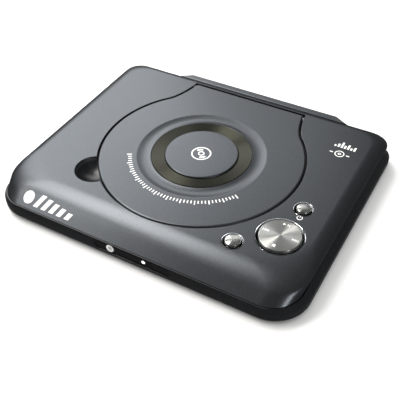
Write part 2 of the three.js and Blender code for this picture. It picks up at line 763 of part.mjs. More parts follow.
function capProfile(radius, bottom, top, dome) {
  return [
    [0, bottom], [radius, bottom], [radius, top - 0.7], [radius - 0.5, top - 0.2 - dome * 0.3],
    [radius * 0.5, top - dome * 0.1], [0, top],
  ];
}

function powerButton() {
  const solid = turned(power.x, power.y, capProfile(power.cap, cap.foot, cap.top, cap.dome));
  return solid.add(cylinder(power.x, power.y, power.stem, power.stemEnd, cap.foot + 0.3, 12));
}

// The cap stands on a wedge that pushes the catch outwards.
function releaseButton() {
  const { wedgeFoot, wedgeIn, wedgeOut, wedgeHalf, slope, slopeGap } = latch;
  const stem = polygon([
    [wedgeIn, wedgeFoot], [wedgeFoot + slope - slopeGap, wedgeFoot],
    [wedgeOut, wedgeOut - slope + slopeGap], [wedgeOut, spring.top + 0.3], [wedgeIn, spring.top + 0.3],
  ]);
  const solid = turned(releaseX, releaseY, capProfile(release.cap, spring.top, cap.top, cap.dome));
  return solid.add(latchFrame(slabY(stem, -wedgeHalf, wedgeHalf)));
}

function latchSlider() {
  const { bottom, top, start, end, half, nose, noseSheet, slope, wedgeHalf } = latch;
  const low = bottom - 1;
  const high = top + 1;
  const hole = polygon([[latch.window, low], [low + slope, low], [high + slope, high], [latch.window, high]]);
  let solid = box(start, end, -half, half, bottom, top);
  solid = solid.add(box(nose, start + 0.5, 1 - half, half - 1, top - noseSheet, top));
  return latchFrame(solid.subtract(slabY(hole, -wedgeHalf - 0.4, wedgeHalf + 0.4)));
}

// Four hooks under the top shell that carry the catch by its two long edges.
function latchRails() {
  const { bottom, start, end, half, lip, railTop } = latch;
  let solid = null;
  for (const side of [-1, 1]) {
    const wall = stretch(side, half + gap, half + 1.5);
    const ledge = stretch(side, half - lip, half + 1.5);
    for (const from of [start + 0.2, end - 0.4]) {
      const to = from + 2.4;
      const upright = box(from, to, ...wall, bottom - 1, railTop);
      const rail = upright.add(box(from, to, ...ledge, bottom - 1, bottom - gap));
      solid = solid ? solid.add(rail) : rail;
    }
  }
  return solid;
}

// A round-wire compression spring on the bezel's shelf.
function releaseSpring() {
  const { radius, wire, turns, top } = spring;
  const bottom = release.shelf + release.shelfSheet;
  const perTurn = 12;
  const steps = turns * perTurn;
  const points = [];
  for (let i = 0; i <= steps; i++) {
    const angle = (2 * Math.PI * i) / perTurn;
    const height = bottom + wire + ((top - bottom - 2 * wire) * i) / steps;
    const x = releaseX + radius * Math.cos(angle);
    points.push(new THREE.Vector3(x, releaseY + radius * Math.sin(angle), height));
  }
  const section = new THREE.Shape();
  section.absarc(0, 0, wire, 0, 2 * Math.PI, false);
  const path = new THREE.CatmullRomCurve3(points);
  return solidOf(new THREE.ExtrudeGeometry(section, { steps, extrudePath: path, curveSegments: 3 }));
}

// The dial's collar reaches down round the gimbal ring.
function transportPad() {
  const bottom = cap.foot + 0.1;
  const solid = turned(pad.x, pad.y, capProfile(pad.cap, bottom, pad.top, 0.2), wide);
  const { collar, collarOuter, top } = gimbal;
  return solid.add(ring(pad.x, pad.y, collar, collarOuter, top - 1.2, bottom + 0.2));
}

// ---- sockets ----

function plugSocket(x, bore, halfX) {
  const top = shell.top - housing.wall - 0.5;
  let solid = box(x - halfX, x + halfX, socketFront, socketBack, board.jackTop, top);
  solid = solid.add(barY(x, sockets.height, bore + sockets.collar, socketBack - 1, housingBack - 0.2));
  return solid.subtract(barY(x, sockets.height, bore, socketFront + 1, housingBack + 1));
}

// The power inlet has a pin in its middle.
function dcSocket() {
  const pin = barY(sockets.dcX, sockets.height, 0.6, socketFront + 0.5, housingBack - 1.4, 12);
  return plugSocket(sockets.dcX, sockets.dcBore, 4.5).add(pin);
}

function jackHousing() {
  const inner = polygon([
    [housing.footLeft + 3, housingFront - 1],
    [housing.footRight - 3, housingFront - 1],
    [housing.backRight - 1, housingBack - housing.wall],
    [housing.backLeft + 1, housingBack - housing.wall],
  ]);
  let solid = slab(housingShape(0), shell.seam, shell.top);
  solid = solid.subtract(slab(inner, shell.seam - 1, shell.top - housing.wall));
  const bores = [[sockets.dcX, sockets.dcBore], [sockets.avX, jack.bore], [sockets.digitalX, jack.bore]];
  for (const [x, bore] of bores) {
    const hole = bore + sockets.collar + gap;
    solid = solid.subtract(barY(x, sockets.height, hole, housingBack - 3, housingBack + 1));
  }
  return solid;
}

function frontPanel() {
  const face = frontY + panel.sunk;
  const back = frontY + base.wall + base.frontLean + gap;
  const end = back + panel.flangeSheet;
  let solid = slabY(windowShape(-gap), face, end, 6);
  solid = solid.add(slabY(windowShape(panel.flange), back, end, 6));
  solid = solid.subtract(barY(jack.x, jack.height, jack.collar + gap, face - 1, end + 1));
  return solid.subtract(barY(led.x, jack.height, led.radius + gap, face - 1, end + 1));
}

function headphoneJack() {
  const front = frontY + base.wall + jack.behindWall;
  const body = [jack.x - jack.half, jack.x + jack.half, front, front + jack.length];
  const solid = box(...body, mainTop, jack.height + jack.half - 0.6);
  return solid.subtract(barY(jack.x, jack.height, jack.bore, front - 1, front + jack.length - 1));
}

function jackCollar() {
  const face = frontY + panel.sunk - 0.3;
  const solid = barY(jack.x, jack.height, jack.collar, face, frontY + base.wall + jack.behindWall - gap);
  return solid.subtract(barY(jack.x, jack.height, jack.bore, face - 1, frontY + 6));
}

function statusLed() {
  const face = frontY + panel.sunk - 0.1;
  const body = [led.x - led.body, led.x + led.body, frontY + 5, frontY + 8];
  const solid = barY(led.x, jack.height, led.radius, face, frontY + 6);
  return solid.add(box(...body, mainTop, jack.height + led.body));
}

function caseScrew(x, y) {
  const { head, headBottom, headTop, shank } = post;
  return turned(x, y, [
    [0, headBottom], [head, headBottom], [head, headTop],
    [shank, headTop], [shank, screwTip - 0.8], [0, screwTip],
  ], 12);
}

function rubberFoot(x, y) {
  const { radius, edge, height } = foot;
  return turned(x, y, [[0, 0], [radius - edge, 0], [radius, edge], [radius, height], [0, height]]);
}

// ---- assembly ----

add('bottom_case', bottomCase(), baseBlack);
add('top_case', topCase(), casePaint);
add('rear_jack_housing', jackHousing(), casePaint);
for (const [place, [x, y]] of Object.entries(corners)) {
  add(`foot_${place}`, rubberFoot(x, y), rubber);
  add(`case_screw_${place}`, caseScrew(x, y), steel);
}
add('front_panel', frontPanel(), gloss);
add('headphone_jack', headphoneJack(), greyPlastic);
add('jack_collar', jackCollar(), chrome);
add('status_led', statusLed(), glass);

const jackSpan = [jackBoard.left, jackBoard.right, rearY - jackBoard.frontInset, rearY - jackBoard.backInset];
add('jack_board', box(...jackSpan, jackBottom, board.jackTop), boardGreen);
add('dc_in_socket', dcSocket(), greyPlastic);
add('av_out_socket', plugSocket(sockets.avX, jack.bore, 3.6), greyPlastic);
add('digital_out_socket', plugSocket(sockets.digitalX, jack.bore, 3.6), greyPlastic);

add('disc_lid', discLid(), casePaint);
const trim = [lid.ringInner, lid.troughInner - gap, ringSeat, ringSeat + lid.ringSheet];
add('lid_ring', ring(0, centreY, ...trim, wide), darkMetal);
add('lid_centre_cap', centreCap(), casePaint);
const liner = [lid.linerHole, lid.linerRadius, lidBottom - lid.linerSheet, lidBottom];
add('lid_liner', ring(0, centreY, ...liner, wide), greyPlastic);
for (const [place, side] of [['left', -1], ['right', 1]]) {
  const ends = stretch(side, lid.tailHalf - hinge.pinIn, lid.tailHalf + hinge.pinOut);
  add(`hinge_pin_${place}`, barX(hingeY, hingeZ, hinge.pinRadius, ...ends, 12), steel);
}

add('disc_well', discWell(), greyPlastic);
add('drive_deck', deckPlate(), steel);
damperPlaces.forEach(([x, y], i) => add(`damper_${i + 1}`, rubberDamper(x, y), rubber));
add('spindle_motor', spindleMotor(), steel);
add('turntable', turntable(), greyPlastic);
const mat = [hub.matInner, spindle.seatRadius - 0.3, spindle.seatTop, spindle.seatTop + hub.matSheet];
add('turntable_mat', ring(0, centreY, ...mat, wide), rubber);
add('pickup_sled', pickupSled(), greyPlastic);
add('lens_holder', lensHolder(), gloss);
add('objective_lens', objectiveLens(), glass);
const rodStart = rod.start + 1 + gap;
const rodEnd = rod.end - 1 - gap;
add('guide_rod_front', barX(rodY[0], rod.height, rod.radius, rodStart, rodEnd), steel);
add('guide_rod_rear', barX(rodY[1], rod.height, rod.radius, rodStart, rodEnd), steel);
add('lead_screw', barX(screwY, rod.height, screwDrive.radius, rodStart, screwDrive.end), steel);
const motorStart = screwDrive.end + gap;
const motorEnd = motorStart + screwDrive.motorLength;
add('sled_motor', barX(screwY, rod.height, screwDrive.motorRadius, motorStart, motorEnd), steel);

const chipY = boardFront + chip.front;
const chipPlace = [chip.x, chip.x + chip.side, chipY, chipY + chip.side];
add('main_board', slab(polygon(mainOutline), board.mainBottom, mainTop), boardGreen);
add('decoder_chip', box(...chipPlace, mainTop, mainTop + chip.thick), gloss);
add('flex_cable', flexCable(), amber);
add('key_board', keyBoard(), boardGreen);
add('power_switch', keySwitch(power.x, power.y, 'power'), greyPlastic);
['right', 'back', 'left', 'front'].forEach((place, i) => {
  const x = pad.x + pad.ringRadius * Math.cos((i * Math.PI) / 2);
  const y = pad.y + pad.ringRadius * Math.sin((i * Math.PI) / 2);
  add(`pad_switch_${place}`, keySwitch(x, y, 'pad'), greyPlastic);
});

add('power_button', powerButton(), chrome);
add('power_bezel', bezel(power, shell.top - shell.wall + 0.1, round), chrome);
add('release_button', releaseButton(), chrome);
add('release_bezel', releaseBezel(), chrome);
add('release_spring', releaseSpring(), steel);
add('release_catch', latchSlider(), greyPlastic);
add('transport_pad', transportPad(), steel);
add('pad_bezel', bezel(pad, shell.top - shell.wall - 0.3, wide), chrome);
add('pad_gimbal', ring(pad.x, pad.y, gimbal.inner, gimbal.outer, gimbal.bottom, gimbal.top), steel);
add('pad_post', cylinder(pad.x, pad.y, gimbal.post, board.keyTop, gimbal.top + 0.2), greyPlastic);

export default player;
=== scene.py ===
import math

import bmesh
import bpy
from mathutils import Matrix, Vector, kdtree


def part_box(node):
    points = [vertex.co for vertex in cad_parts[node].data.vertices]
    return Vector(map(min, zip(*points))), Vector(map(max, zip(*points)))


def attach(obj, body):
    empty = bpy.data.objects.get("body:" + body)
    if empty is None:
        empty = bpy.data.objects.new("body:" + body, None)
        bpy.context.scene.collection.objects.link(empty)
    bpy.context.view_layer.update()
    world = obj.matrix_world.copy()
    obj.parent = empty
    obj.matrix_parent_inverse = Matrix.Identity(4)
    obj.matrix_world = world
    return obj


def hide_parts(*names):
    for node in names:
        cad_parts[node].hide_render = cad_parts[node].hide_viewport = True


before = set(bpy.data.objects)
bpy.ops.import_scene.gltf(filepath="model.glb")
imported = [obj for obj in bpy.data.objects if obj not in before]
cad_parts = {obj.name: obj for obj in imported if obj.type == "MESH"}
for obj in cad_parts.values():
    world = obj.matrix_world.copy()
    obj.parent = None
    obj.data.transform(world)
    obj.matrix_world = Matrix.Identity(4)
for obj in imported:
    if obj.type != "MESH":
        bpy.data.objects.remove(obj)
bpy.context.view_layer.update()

# Compact disc player: smooth shells, spun metal trim and printed marks.
# Pieces are modelled in millimetres and brought to metres when they are finished.

mm = 0.001


def cadBox(node):
    low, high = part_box(node)
    return low / mm, high / mm


caseLow, caseHigh = cadBox("bottom_case")
place = {
    "half": caseHigh.x,
    "front": caseLow.y,
    "rear": caseHigh.y,
    "underside": caseLow.z,
    "seam": caseHigh.z + 0.3,  # the shells stand this far apart
    "top": cadBox("disc_lid")[1].z,
    "lidX": (cadBox("lid_ring")[0].x + cadBox("lid_ring")[1].x) / 2,
    "lidY": (cadBox("lid_ring")[0].y + cadBox("lid_ring")[1].y) / 2,
    "lidRadius": cadBox("disc_lid")[1].x,
}


def middleOf(node):
    low, high = cadBox(node)
    return (low.x + high.x) / 2, (low.y + high.y) / 2


# ---- camera, floor and light ----

cameraView = {"spot": (167.0, -281.9, 291.5), "turn": 30.55, "down": 43.11, "roll": 1.70, "lens": 60.53}


def makeCamera():
    turn, down, roll = (math.radians(cameraView[key]) for key in ("turn", "down", "roll"))
    bpy.ops.object.camera_add(location=Vector(cameraView["spot"]) * mm)
    camera = bpy.context.object
    aim = Matrix.Rotation(turn, 4, "Z") @ Matrix.Rotation(math.pi / 2 - down, 4, "X")
    aim = aim @ Matrix.Rotation(-roll, 4, "Z")
    camera.matrix_world = Matrix.Translation(camera.location) @ aim
    camera.data.lens = cameraView["lens"]
    camera.data.sensor_width = 36
    camera.data.clip_start = 0.01
    bpy.context.scene.camera = camera


studio = {
    "floor": "f4f4f3",
    "floorSize": 12,  # metres
    "sky": 0.12,
    "backdrop": 1.0,  # the sky's own brightness where the camera sees it
    "lamps": {  # where each stands and its size in metres, all aimed at the player
        "highLeft": {
            "spot": (-0.57, 0.10, 1.0), "size": (0.62, 0.45), "power": 10.5, "tint": (1, 0.975, 0.94)},
        "backLeft": {"spot": (-0.82, 0.66, 0.70), "size": (0.75, 0.5), "power": 5.6, "tint": (1, 1, 1)},
        "back": {"spot": (-0.34, 0.86, 0.74), "size": (0.4, 0.34), "power": 0.9, "tint": (1, 1, 1)},
        "frontLeft": {
            "spot": (-0.66, -0.46, 0.84), "size": (0.24, 0.24), "power": 1.9, "tint": (1, 0.98, 0.95)},
        "lowRight": {"spot": (0.75, -0.40, 0.33), "size": (0.16, 0.16), "power": 1.3, "tint": (1, 1, 1)},
    },
    "fill": 2.0,
    "fillSpread": 90,  # degrees
}


def makeStudio():
    world = bpy.data.worlds.new("studio")
    bpy.context.scene.world = world
    world.use_nodes = True
    sky = world.node_tree.nodes["Background"]
    sky.inputs["Color"].default_value = (1, 1, 1, 1)
    seen = addNode(world.node_tree, "ShaderNodeLightPath").outputs["Is Camera Ray"]
    lit = addNode(world.node_tree, "ShaderNodeMapRange", {}, {
        "Value": seen, "To Min": studio["sky"], "To Max": studio["backdrop"]})
    world.node_tree.links.new(lit.outputs["Result"], sky.inputs["Strength"])
    bpy.context.scene.view_settings.view_transform = "Standard"
    bpy.ops.mesh.primitive_plane_add(size=studio["floorSize"])
    floor = bpy.context.object
    floor.name = "floor"
    floor.visible_glossy = False  # the paper stays out of the lacquer's reflections
    floor.data.materials.append(plainLook("paper backdrop", studio["floor"], 0.9))
    for name, lamp in studio["lamps"].items():
        bpy.ops.object.light_add(type="AREA", location=lamp["spot"])
        light = bpy.context.object
        light.name = name
        light.rotation_euler = (-Vector(lamp["spot"])).to_track_quat("-Z", "Y").to_euler()
        light.data.shape = "RECTANGLE"
        light.data.size, light.data.size_y = lamp["size"]
        light.data.energy = lamp["power"]
        light.data.color = lamp["tint"]
    bpy.ops.object.light_add(type="SUN", location=(0, 0, 2))
    fill = bpy.context.object
    fill.name = "fill"
    fill.visible_glossy = False
    fill.data.angle = math.radians(studio["fillSpread"])
    fill.data.energy = studio["fill"]


# ---- materials ----

def linear(code):
    parts = [int(code[i:i + 2], 16) / 255 for i in (0, 2, 4)]
    return tuple(c / 12.92 if c <= 0.04045 else ((c + 0.055) / 1.055) ** 2.4 for c in parts) + (1,)


def addNode(tree, kind, settings={}, inputs={}):
    node = tree.nodes.new(kind)
    for key, value in settings.items():
        setattr(node, key, value)
    for key, value in inputs.items():
        if isinstance(value, bpy.types.NodeSocket):
            tree.links.new(value, node.inputs[key])
        else:
            node.inputs[key].default_value = value
    return node


def newLook(name, colour, roughness, metallic=0.0, **sockets):
    look = bpy.data.materials.new(name)
    look.use_nodes = True
    shader = look.node_tree.nodes["Principled BSDF"]
    shader.inputs["Base Color"].default_value = linear(colour)
    shader.inputs["Roughness"].default_value = roughness
    shader.inputs["Metallic"].default_value = metallic
    for key, value in sockets.items():
        shader.inputs[key.replace("_", " ")].default_value = value
    return look, look.node_tree, shader


def plainLook(name, colour, roughness):
    return newLook(name, colour, roughness)[0]


# Colour and roughness that wander between two values, and a fine bump, on the piece's own place.
def mottle(tree, shader, colours, roughness, size, bump=0.0):
    where = addNode(tree, "ShaderNodeTexCoord").outputs["Object"]
    noise = addNode(tree, "ShaderNodeTexNoise", {}, {
        "Vector": where, "Scale": 1 / (size * mm), "Detail": 3.0})
    ramp = addNode(tree, "ShaderNodeValToRGB", {}, {"Fac": noise.outputs["Fac"]})
    ramp.color_ramp.elements[0].position = 0.35
    ramp.color_ramp.elements[0].color = linear(colours[0])
    ramp.color_ramp.elements[1].position = 0.65
    ramp.color_ramp.elements[1].color = linear(colours[1])
    tree.links.new(ramp.outputs["Color"], shader.inputs["Base Color"])
    span = addNode(tree, "ShaderNodeMapRange", {}, {
        "Value": noise.outputs["Fac"], "From Min": 0.3, "From Max": 0.7,
        "To Min": roughness[0], "To Max": roughness[1]})
    tree.links.new(span.outputs["Result"], shader.inputs["Roughness"])
    if bump:
        rise = addNode(tree, "ShaderNodeBump", {}, {
            "Height": noise.outputs["Fac"], "Strength": 0.35, "Distance": bump * mm})
        tree.links.new(rise.outputs["Normal"], shader.inputs["Normal"])


# Metallic lacquer on moulded ABS: fine flakes give a soft, wide sheen and a faint grain.
def metallicLacquer():
    look, tree, shader = newLook("metallic lacquer", "4a4d52", 0.33, 0.9)
    mottle(tree, shader, ("46494d", "535659"), (0.3, 0.36), 0.45, bump=0.006)
    return look


# Moulded black ABS: a satin black with a shallow grain from the tool.
def blackAbs():
    look, tree, shader = newLook("moulded black ABS", "141517", 0.2, IOR=1.53)
    mottle(tree, shader, ("111214", "18191b"), (0.17, 0.24), 0.6, bump=0.003)
    return look


# Polished black acrylic: mirror-like with hardly any grain.
def blackAcrylic():
    look, tree, shader = newLook("polished black acrylic", "08080a", 0.07, IOR=1.49)
    mottle(tree, shader, ("070709", "0b0b0e"), (0.05, 0.1), 3.0)
    return look


# The same acrylic after light blasting, which spreads its highlight into one soft spot.
def satinAcrylic():
    look, tree, shader = newLook("satin black acrylic", "0a0b0d", 0.3, IOR=1.49)
    mottle(tree, shader, ("08090b", "0d0e11"), (0.3, 0.38), 3.0)
    return look


# Chrome plating on ABS: bright, with a slight waviness of the moulding under it.
def chromePlate():
    look, tree, shader = newLook("chrome plating", "c9cccf", 0.1, 1.0)
    mottle(tree, shader, ("bfc2c5", "d2d5d8"), (0.07, 0.14), 1.2)
    return look


# Metal spun or ground in circles: fine rings round the middle pull highlights into fans.
# The rings are drawn at 0.35 mm because true turning marks are too fine to show.
def spunMetal(name, colours, centre, roughness, pull, pitch=0.35):
    look, tree, shader = newLook(
        name, colours[0], roughness, 1.0, Anisotropic=pull, Anisotropic_Rotation=0.25)
    where = addNode(tree, "ShaderNodeTexCoord").outputs["Object"]
    moved = addNode(tree, "ShaderNodeMapping", {}, {
        "Vector": where, "Location": (-centre[0] * mm, -centre[1] * mm, 0)})
    rings = addNode(tree, "ShaderNodeTexWave", {"wave_type": "RINGS", "rings_direction": "Z"}, {
        "Vector": moved.outputs["Vector"], "Scale": 0.314 / (pitch * mm), "Distortion": 0.6, "Detail": 2.0})
    ramp = addNode(tree, "ShaderNodeValToRGB", {}, {"Fac": rings.outputs["Fac"]})
    ramp.color_ramp.elements[0].color = linear(colours[0])
    ramp.color_ramp.elements[1].color = linear(colours[1])
    tree.links.new(ramp.outputs["Color"], shader.inputs["Base Color"])
    tangent = addNode(tree, "ShaderNodeTangent", {"direction_type": "RADIAL", "axis": "Z"})
    tree.links.new(tangent.outputs["Tangent"], shader.inputs["Tangent"])
    return look


# Screen-printed white ink: matt, and a little uneven in thickness, so that it looks laid on.
def whiteInk():
    look, tree, shader = newLook("screen printed ink", "f4f4f2", 0.55)
    mottle(tree, shader, ("ebebe9", "fafaf8"), (0.5, 0.6), 0.5)
    return look


# Moulded rubber: dull and almost black, so the feet and mat take no highlight.
def mouldedRubber():
    look, tree, shader = newLook("moulded rubber", "161616", 0.85, IOR=1.52)
    mottle(tree, shader, ("121212", "1c1c1b"), (0.75, 0.95), 0.4, bump=0.02)
    return look


# Satin black ABS for what is inside the case: greyer and rougher than the outside.
def innerAbs():
    look, tree, shader = newLook("satin black ABS", "1d1e20", 0.45, IOR=1.53)
    mottle(tree, shader, ("1a1b1d", "232427"), (0.4, 0.52), 0.7, bump=0.008)
    return look


# Rolled steel: grey with a faint grain.
def plainSteel():
    look, tree, shader = newLook("rolled steel", "a3a6aa", 0.35, 1.0)
    mottle(tree, shader, ("979a9e", "b0b3b6"), (0.28, 0.42), 0.8, bump=0.004)
    return look


# Solder resist over glass fibre: dark green with a weave below it.
def circuitBoard():
    look, tree, shader = newLook("solder resist", "12301f", 0.35, IOR=1.55)
    mottle(tree, shader, ("0f2a1b", "163825"), (0.3, 0.42), 1.6, bump=0.01)
    return look


# Moulded epoxy of a chip: matt and almost black.
def chipEpoxy():
    look, tree, shader = newLook("moulded epoxy", "1b1b1d", 0.6, IOR=1.55)
    mottle(tree, shader, ("18181a", "222224"), (0.55, 0.68), 0.3, bump=0.01)
    return look


# Polyimide film of a flat cable: amber and glossy.
def amberFilm():
    look, tree, shader = newLook("polyimide film", "a8641e", 0.25, IOR=1.7)
    mottle(tree, shader, ("9a5a19", "b87026"), (0.2, 0.32), 2.0)
    return look


# Coated glass lens: dark blue with a bright spot.
def coatedGlass():
    look, tree, shader = newLook("coated lens glass", "101a3c", 0.04, IOR=1.52, Coat_Weight=1.0)
    mottle(tree, shader, ("0d1634", "16234c"), (0.03, 0.06), 1.5)
    return look


# Ring round the earphone socket: plain white, a painted reflection of the pale floor in its plated face.
def paintedReflectionWhite():
    look, tree, shader = newLook("white painted reflection", "f2f2f0", 0.4, IOR=1.53)
    mottle(tree, shader, ("ebebe8", "f8f8f6"), (0.35, 0.48), 0.6)
    return look


# Light guide that glows white over a clear acrylic lens.
def litLens():
    look, tree, shader = newLook("lit acrylic lens", "f6f6f2", 0.2, IOR=1.49, Emission_Strength=1.2)
    mottle(tree, shader, ("efefeb", "fcfcf9"), (0.15, 0.28), 0.5)
    shader.inputs["Emission Color"].default_value = (1, 1, 1, 1)
    return look


# ---- modelling helpers ----

def only(*pieces):
    bpy.ops.object.select_all(action="DESELECT")
    for piece in pieces:
        piece.select_set(True)
    bpy.context.view_layer.objects.active = pieces[0]


def startEdit(piece, kind="VERT"):
    only(piece)
    bpy.ops.object.mode_set(mode="EDIT")
    bpy.ops.mesh.select_mode(type=kind)
    bpy.ops.mesh.select_all(action="DESELECT")
    return bmesh.from_edit_mesh(piece.data)


def endEdit():
    bpy.ops.object.mode_set(mode="OBJECT")


def showPicks(piece, mesh):
    mesh.select_flush_mode()
    bmesh.update_edit_mesh(piece.data)


# One corner for each point, in order round the outline.
def outlinePiece(points, z):
    bpy.ops.object.select_all(action="DESELECT")
    bpy.ops.mesh.primitive_circle_add(vertices=len(points), radius=1)
    piece = bpy.context.object
    for corner, (x, y) in zip(piece.data.vertices, points):
        corner.co = (x, y, z)
    return piece


# Extrudes the selected outline and sets each new corner on the next outline.
def growWall(piece, before, after):
    bpy.ops.mesh.extrude_edges_move()
    mesh = bmesh.from_edit_mesh(piece.data)
    places = kdtree.KDTree(len(before))
    for i, point in enumerate(before):
        places.insert(point, i)
    places.balance()
    for corner in mesh.verts:
        if corner.select:
            corner.co = after[places.find(corner.co)[1]]
    bmesh.update_edit_mesh(piece.data)


# A skin through stacked outlines of (x, y, z) corners, closed at the ends that are asked for.
def loftPiece(rings, closeStart=True, closeEnd=True):
    rings = [[tuple(map(float, point)) for point in ring] for ring in rings]
    piece = outlinePiece([point[:2] for point in rings[0]], rings[0][0][2])
    for corner, point in zip(piece.data.vertices, rings[0]):
        corner.co = point
    startEdit(piece, "EDGE")
    bpy.ops.mesh.select_all(action="SELECT")
    if closeStart:
        bpy.ops.mesh.duplicate()
        bpy.ops.mesh.edge_face_add()
        bpy.ops.mesh.select_all(action="DESELECT")
        mesh = bmesh.from_edit_mesh(piece.data)
        for edge in mesh.edges:
            edge.select = not edge.link_faces
        showPicks(piece, mesh)
    for before, after in zip(rings, rings[1:]):
        growWall(piece, before, after)
    if closeEnd:
        bpy.ops.mesh.edge_face_add()
    bpy.ops.mesh.select_all(action="SELECT")
    bpy.ops.mesh.remove_doubles(threshold=0.0005)
    bpy.ops.mesh.normals_make_consistent(inside=False)
    endEdit()
    return piece


def prism(points, low, high):
    return loftPiece([[(x, y, z) for x, y in points] for z in (low, high)])


# A profile of (radius, height) corners spun about a vertical axis.
def turnedPiece(centre, profile, steps=96, closed=False):
    x, y = centre
    piece = outlinePiece([(x, y)] * len(profile), 0)
    for corner, (radius, height) in zip(piece.data.vertices, profile):
        corner.co = (x + radius, y, height)
    last = len(profile) - 1
    mesh = startEdit(piece, "EDGE")
    if not closed:
        mesh.verts.ensure_lookup_table()
        for edge in mesh.edges:
            edge.select = {v.index for v in edge.verts} == {0, last}
        showPicks(piece, mesh)
        bpy.ops.mesh.delete(type="EDGE")
    bpy.ops.mesh.select_all(action="SELECT")
    bpy.ops.mesh.spin(steps=steps, angle=2 * math.pi, center=(x, y, 0), axis=(0, 0, 1))
    bpy.ops.mesh.select_all(action="SELECT")
    bpy.ops.mesh.remove_doubles(threshold=0.0005)
    bpy.ops.mesh.normals_make_consistent(inside=False)
    endEdit()
    return piece


def applyAll(piece):
    only(piece)
    for modifier in list(piece.modifiers):
        bpy.ops.object.modifier_apply(modifier=modifier.name)


def carve(piece, cutter, how="DIFFERENCE"):
    cut = piece.modifiers.new("cut", "BOOLEAN")
    cut.operation = how
    cut.solver = "EXACT"
    cut.object = cutter
    applyAll(piece)
    bpy.data.objects.remove(cutter)


# Rounds the edges that pass the test, which is given an edge's two ends and its angle in degrees.
def soften(piece, width, test, steps=4):
    mesh = startEdit(piece, "EDGE")
    for edge in mesh.edges:
        if len(edge.link_faces) == 2:
            a, b = (corner.co for corner in edge.verts)
            edge.select = test(a, b, math.degrees(edge.calc_face_angle()))
    showPicks(piece, mesh)
    bpy.ops.mesh.bevel(offset=width, segments=steps, affect="EDGES", clamp_overlap=False)
    endEdit()


def thicken(piece, wall):
    solid = piece.modifiers.new("wall", "SOLIDIFY")
    solid.thickness = wall
    solid.offset = -1
    solid.use_even_offset = True
    applyAll(piece)


def finishPiece(piece, name, body, look, nodes=(), angle=32):
    only(piece)
    piece.scale = (mm, mm, mm)
    bpy.ops.object.transform_apply(location=True, rotation=True, scale=True)
    piece.name = name
    piece.data.name = name
    piece.data.materials.clear()
    piece.data.materials.append(look)
    bpy.ops.object.shade_smooth_by_angle(angle=math.radians(angle))
    even = piece.modifiers.new("even", "WEIGHTED_NORMAL")
    even.keep_sharp = True
    applyAll(piece)
    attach(piece, body)
    if nodes:
        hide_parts(*nodes)
    return piece


def near(value, target, slack=0.02):
    return abs(value - target) < slack


# Tests for soften: edges lying at one height, at one distance from a centre, or at one place along Y.
def rim(height, steep=60):
    return lambda a, b, angle: angle > steep and near(a.z, height) and near(b.z, height)


def roundRim(height, centre, radius, steep=-1, slack=0.05):
    level, middle = rim(height, steep), Vector(centre)
    return lambda a, b, angle: level(a, b, angle) and near((a.xy - middle).length, radius, slack)


def sideRim(y, slack=0.02, above=-100):
    return lambda a, b, angle: (
        angle > 60 and near(a.y, y, slack) and near(b.y, y, slack) and min(a.z, b.z) > above)


# ---- outlines ----

shell = {
    "sideInset": 2.5,
    "rearInset": 2.9,
    "tuck": 1.6,
    "rollAcross": 9,
    "rollDown": 4.5,
    "rearRoll": 6,
    "wall": 2,
    "shoulderStart": 24,
    "shoulderRadius": 30,
    "shoulderAngle": 33,
    "frontRadius": 18.5,
    "rearRadius": 10,
    "cornerRoll": 12,  # the front corners open this much as the top rolls over
    "rearCornerRoll": 4,
    "cornerSteps": 12,
    "rollSteps": 12,
    "rows": (7.9, 6.75, 5.6),  # depths of the rows between the seam and the roll
    "lidDepth": 5.3,
    "bezelDepth": 4.2,
    "bezelGap": 0.1,
    "edge": {"lid": 0.35, "bezel": 0.2, "ridge": 0.25, "scoop": 0.3},
}


def roundedOutline(half, front, rear, frontRadius, rearRadius, steps):
    corners = [
        (half - frontRadius, front + frontRadius, frontRadius, -90),
        (half - rearRadius, rear - rearRadius, rearRadius, 0),
        (rearRadius - half, rear - rearRadius, rearRadius, 90),
        (frontRadius - half, front + frontRadius, frontRadius, 180),
    ]
    points = []
    for x, y, radius, start in corners:
        for i in range(steps + 1):
            angle = math.radians(start + 90 * i / steps)
            points.append((x + radius * math.cos(angle), y + radius * math.sin(angle)))
    return points


# How far the front shoulder has come forward of its start, at a depth below the top.
def shoulderReach(depth):
    radius, angle = shell["shoulderRadius"], math.radians(shell["shoulderAngle"])
    arcDepth = radius * (1 - math.cos(angle))
    if depth > arcDepth:
        return radius * math.sin(angle) + (depth - arcDepth) / math.tan(angle)
    return math.sqrt(radius ** 2 - (radius - depth) ** 2)


# Outline of the top shell at a depth below its flat top.
def shellRing(depth):
    lean = max(0.0, 1 - depth / shell["rollDown"])
    roll = 1 - math.sqrt(1 - lean ** 2)
    full = place["top"] - place["seam"]
    tuck = max(0.0, (depth - shell["rollDown"]) / (full - shell["rollDown"]))
    outline = roundedOutline(
        place["half"] - shell["sideInset"] - roll * shell["rollAcross"] - tuck * shell["tuck"],
        place["front"] + shell["shoulderStart"] - shoulderReach(depth),
        place["rear"] - shell["rearInset"] - roll * shell["rearRoll"] - tuck,
        shell["frontRadius"] + shell["cornerRoll"] * roll,
        shell["rearRadius"] + shell["rearCornerRoll"] * roll,
        shell["cornerSteps"],
    )
    return [(x, y, place["top"] - depth) for x, y in outline]


bell = {"neckHalf": 44.5, "tailHalf": 41.3, "tail": 67.6, "neckStart": 53, "leave": 42, "gap": 0.7}


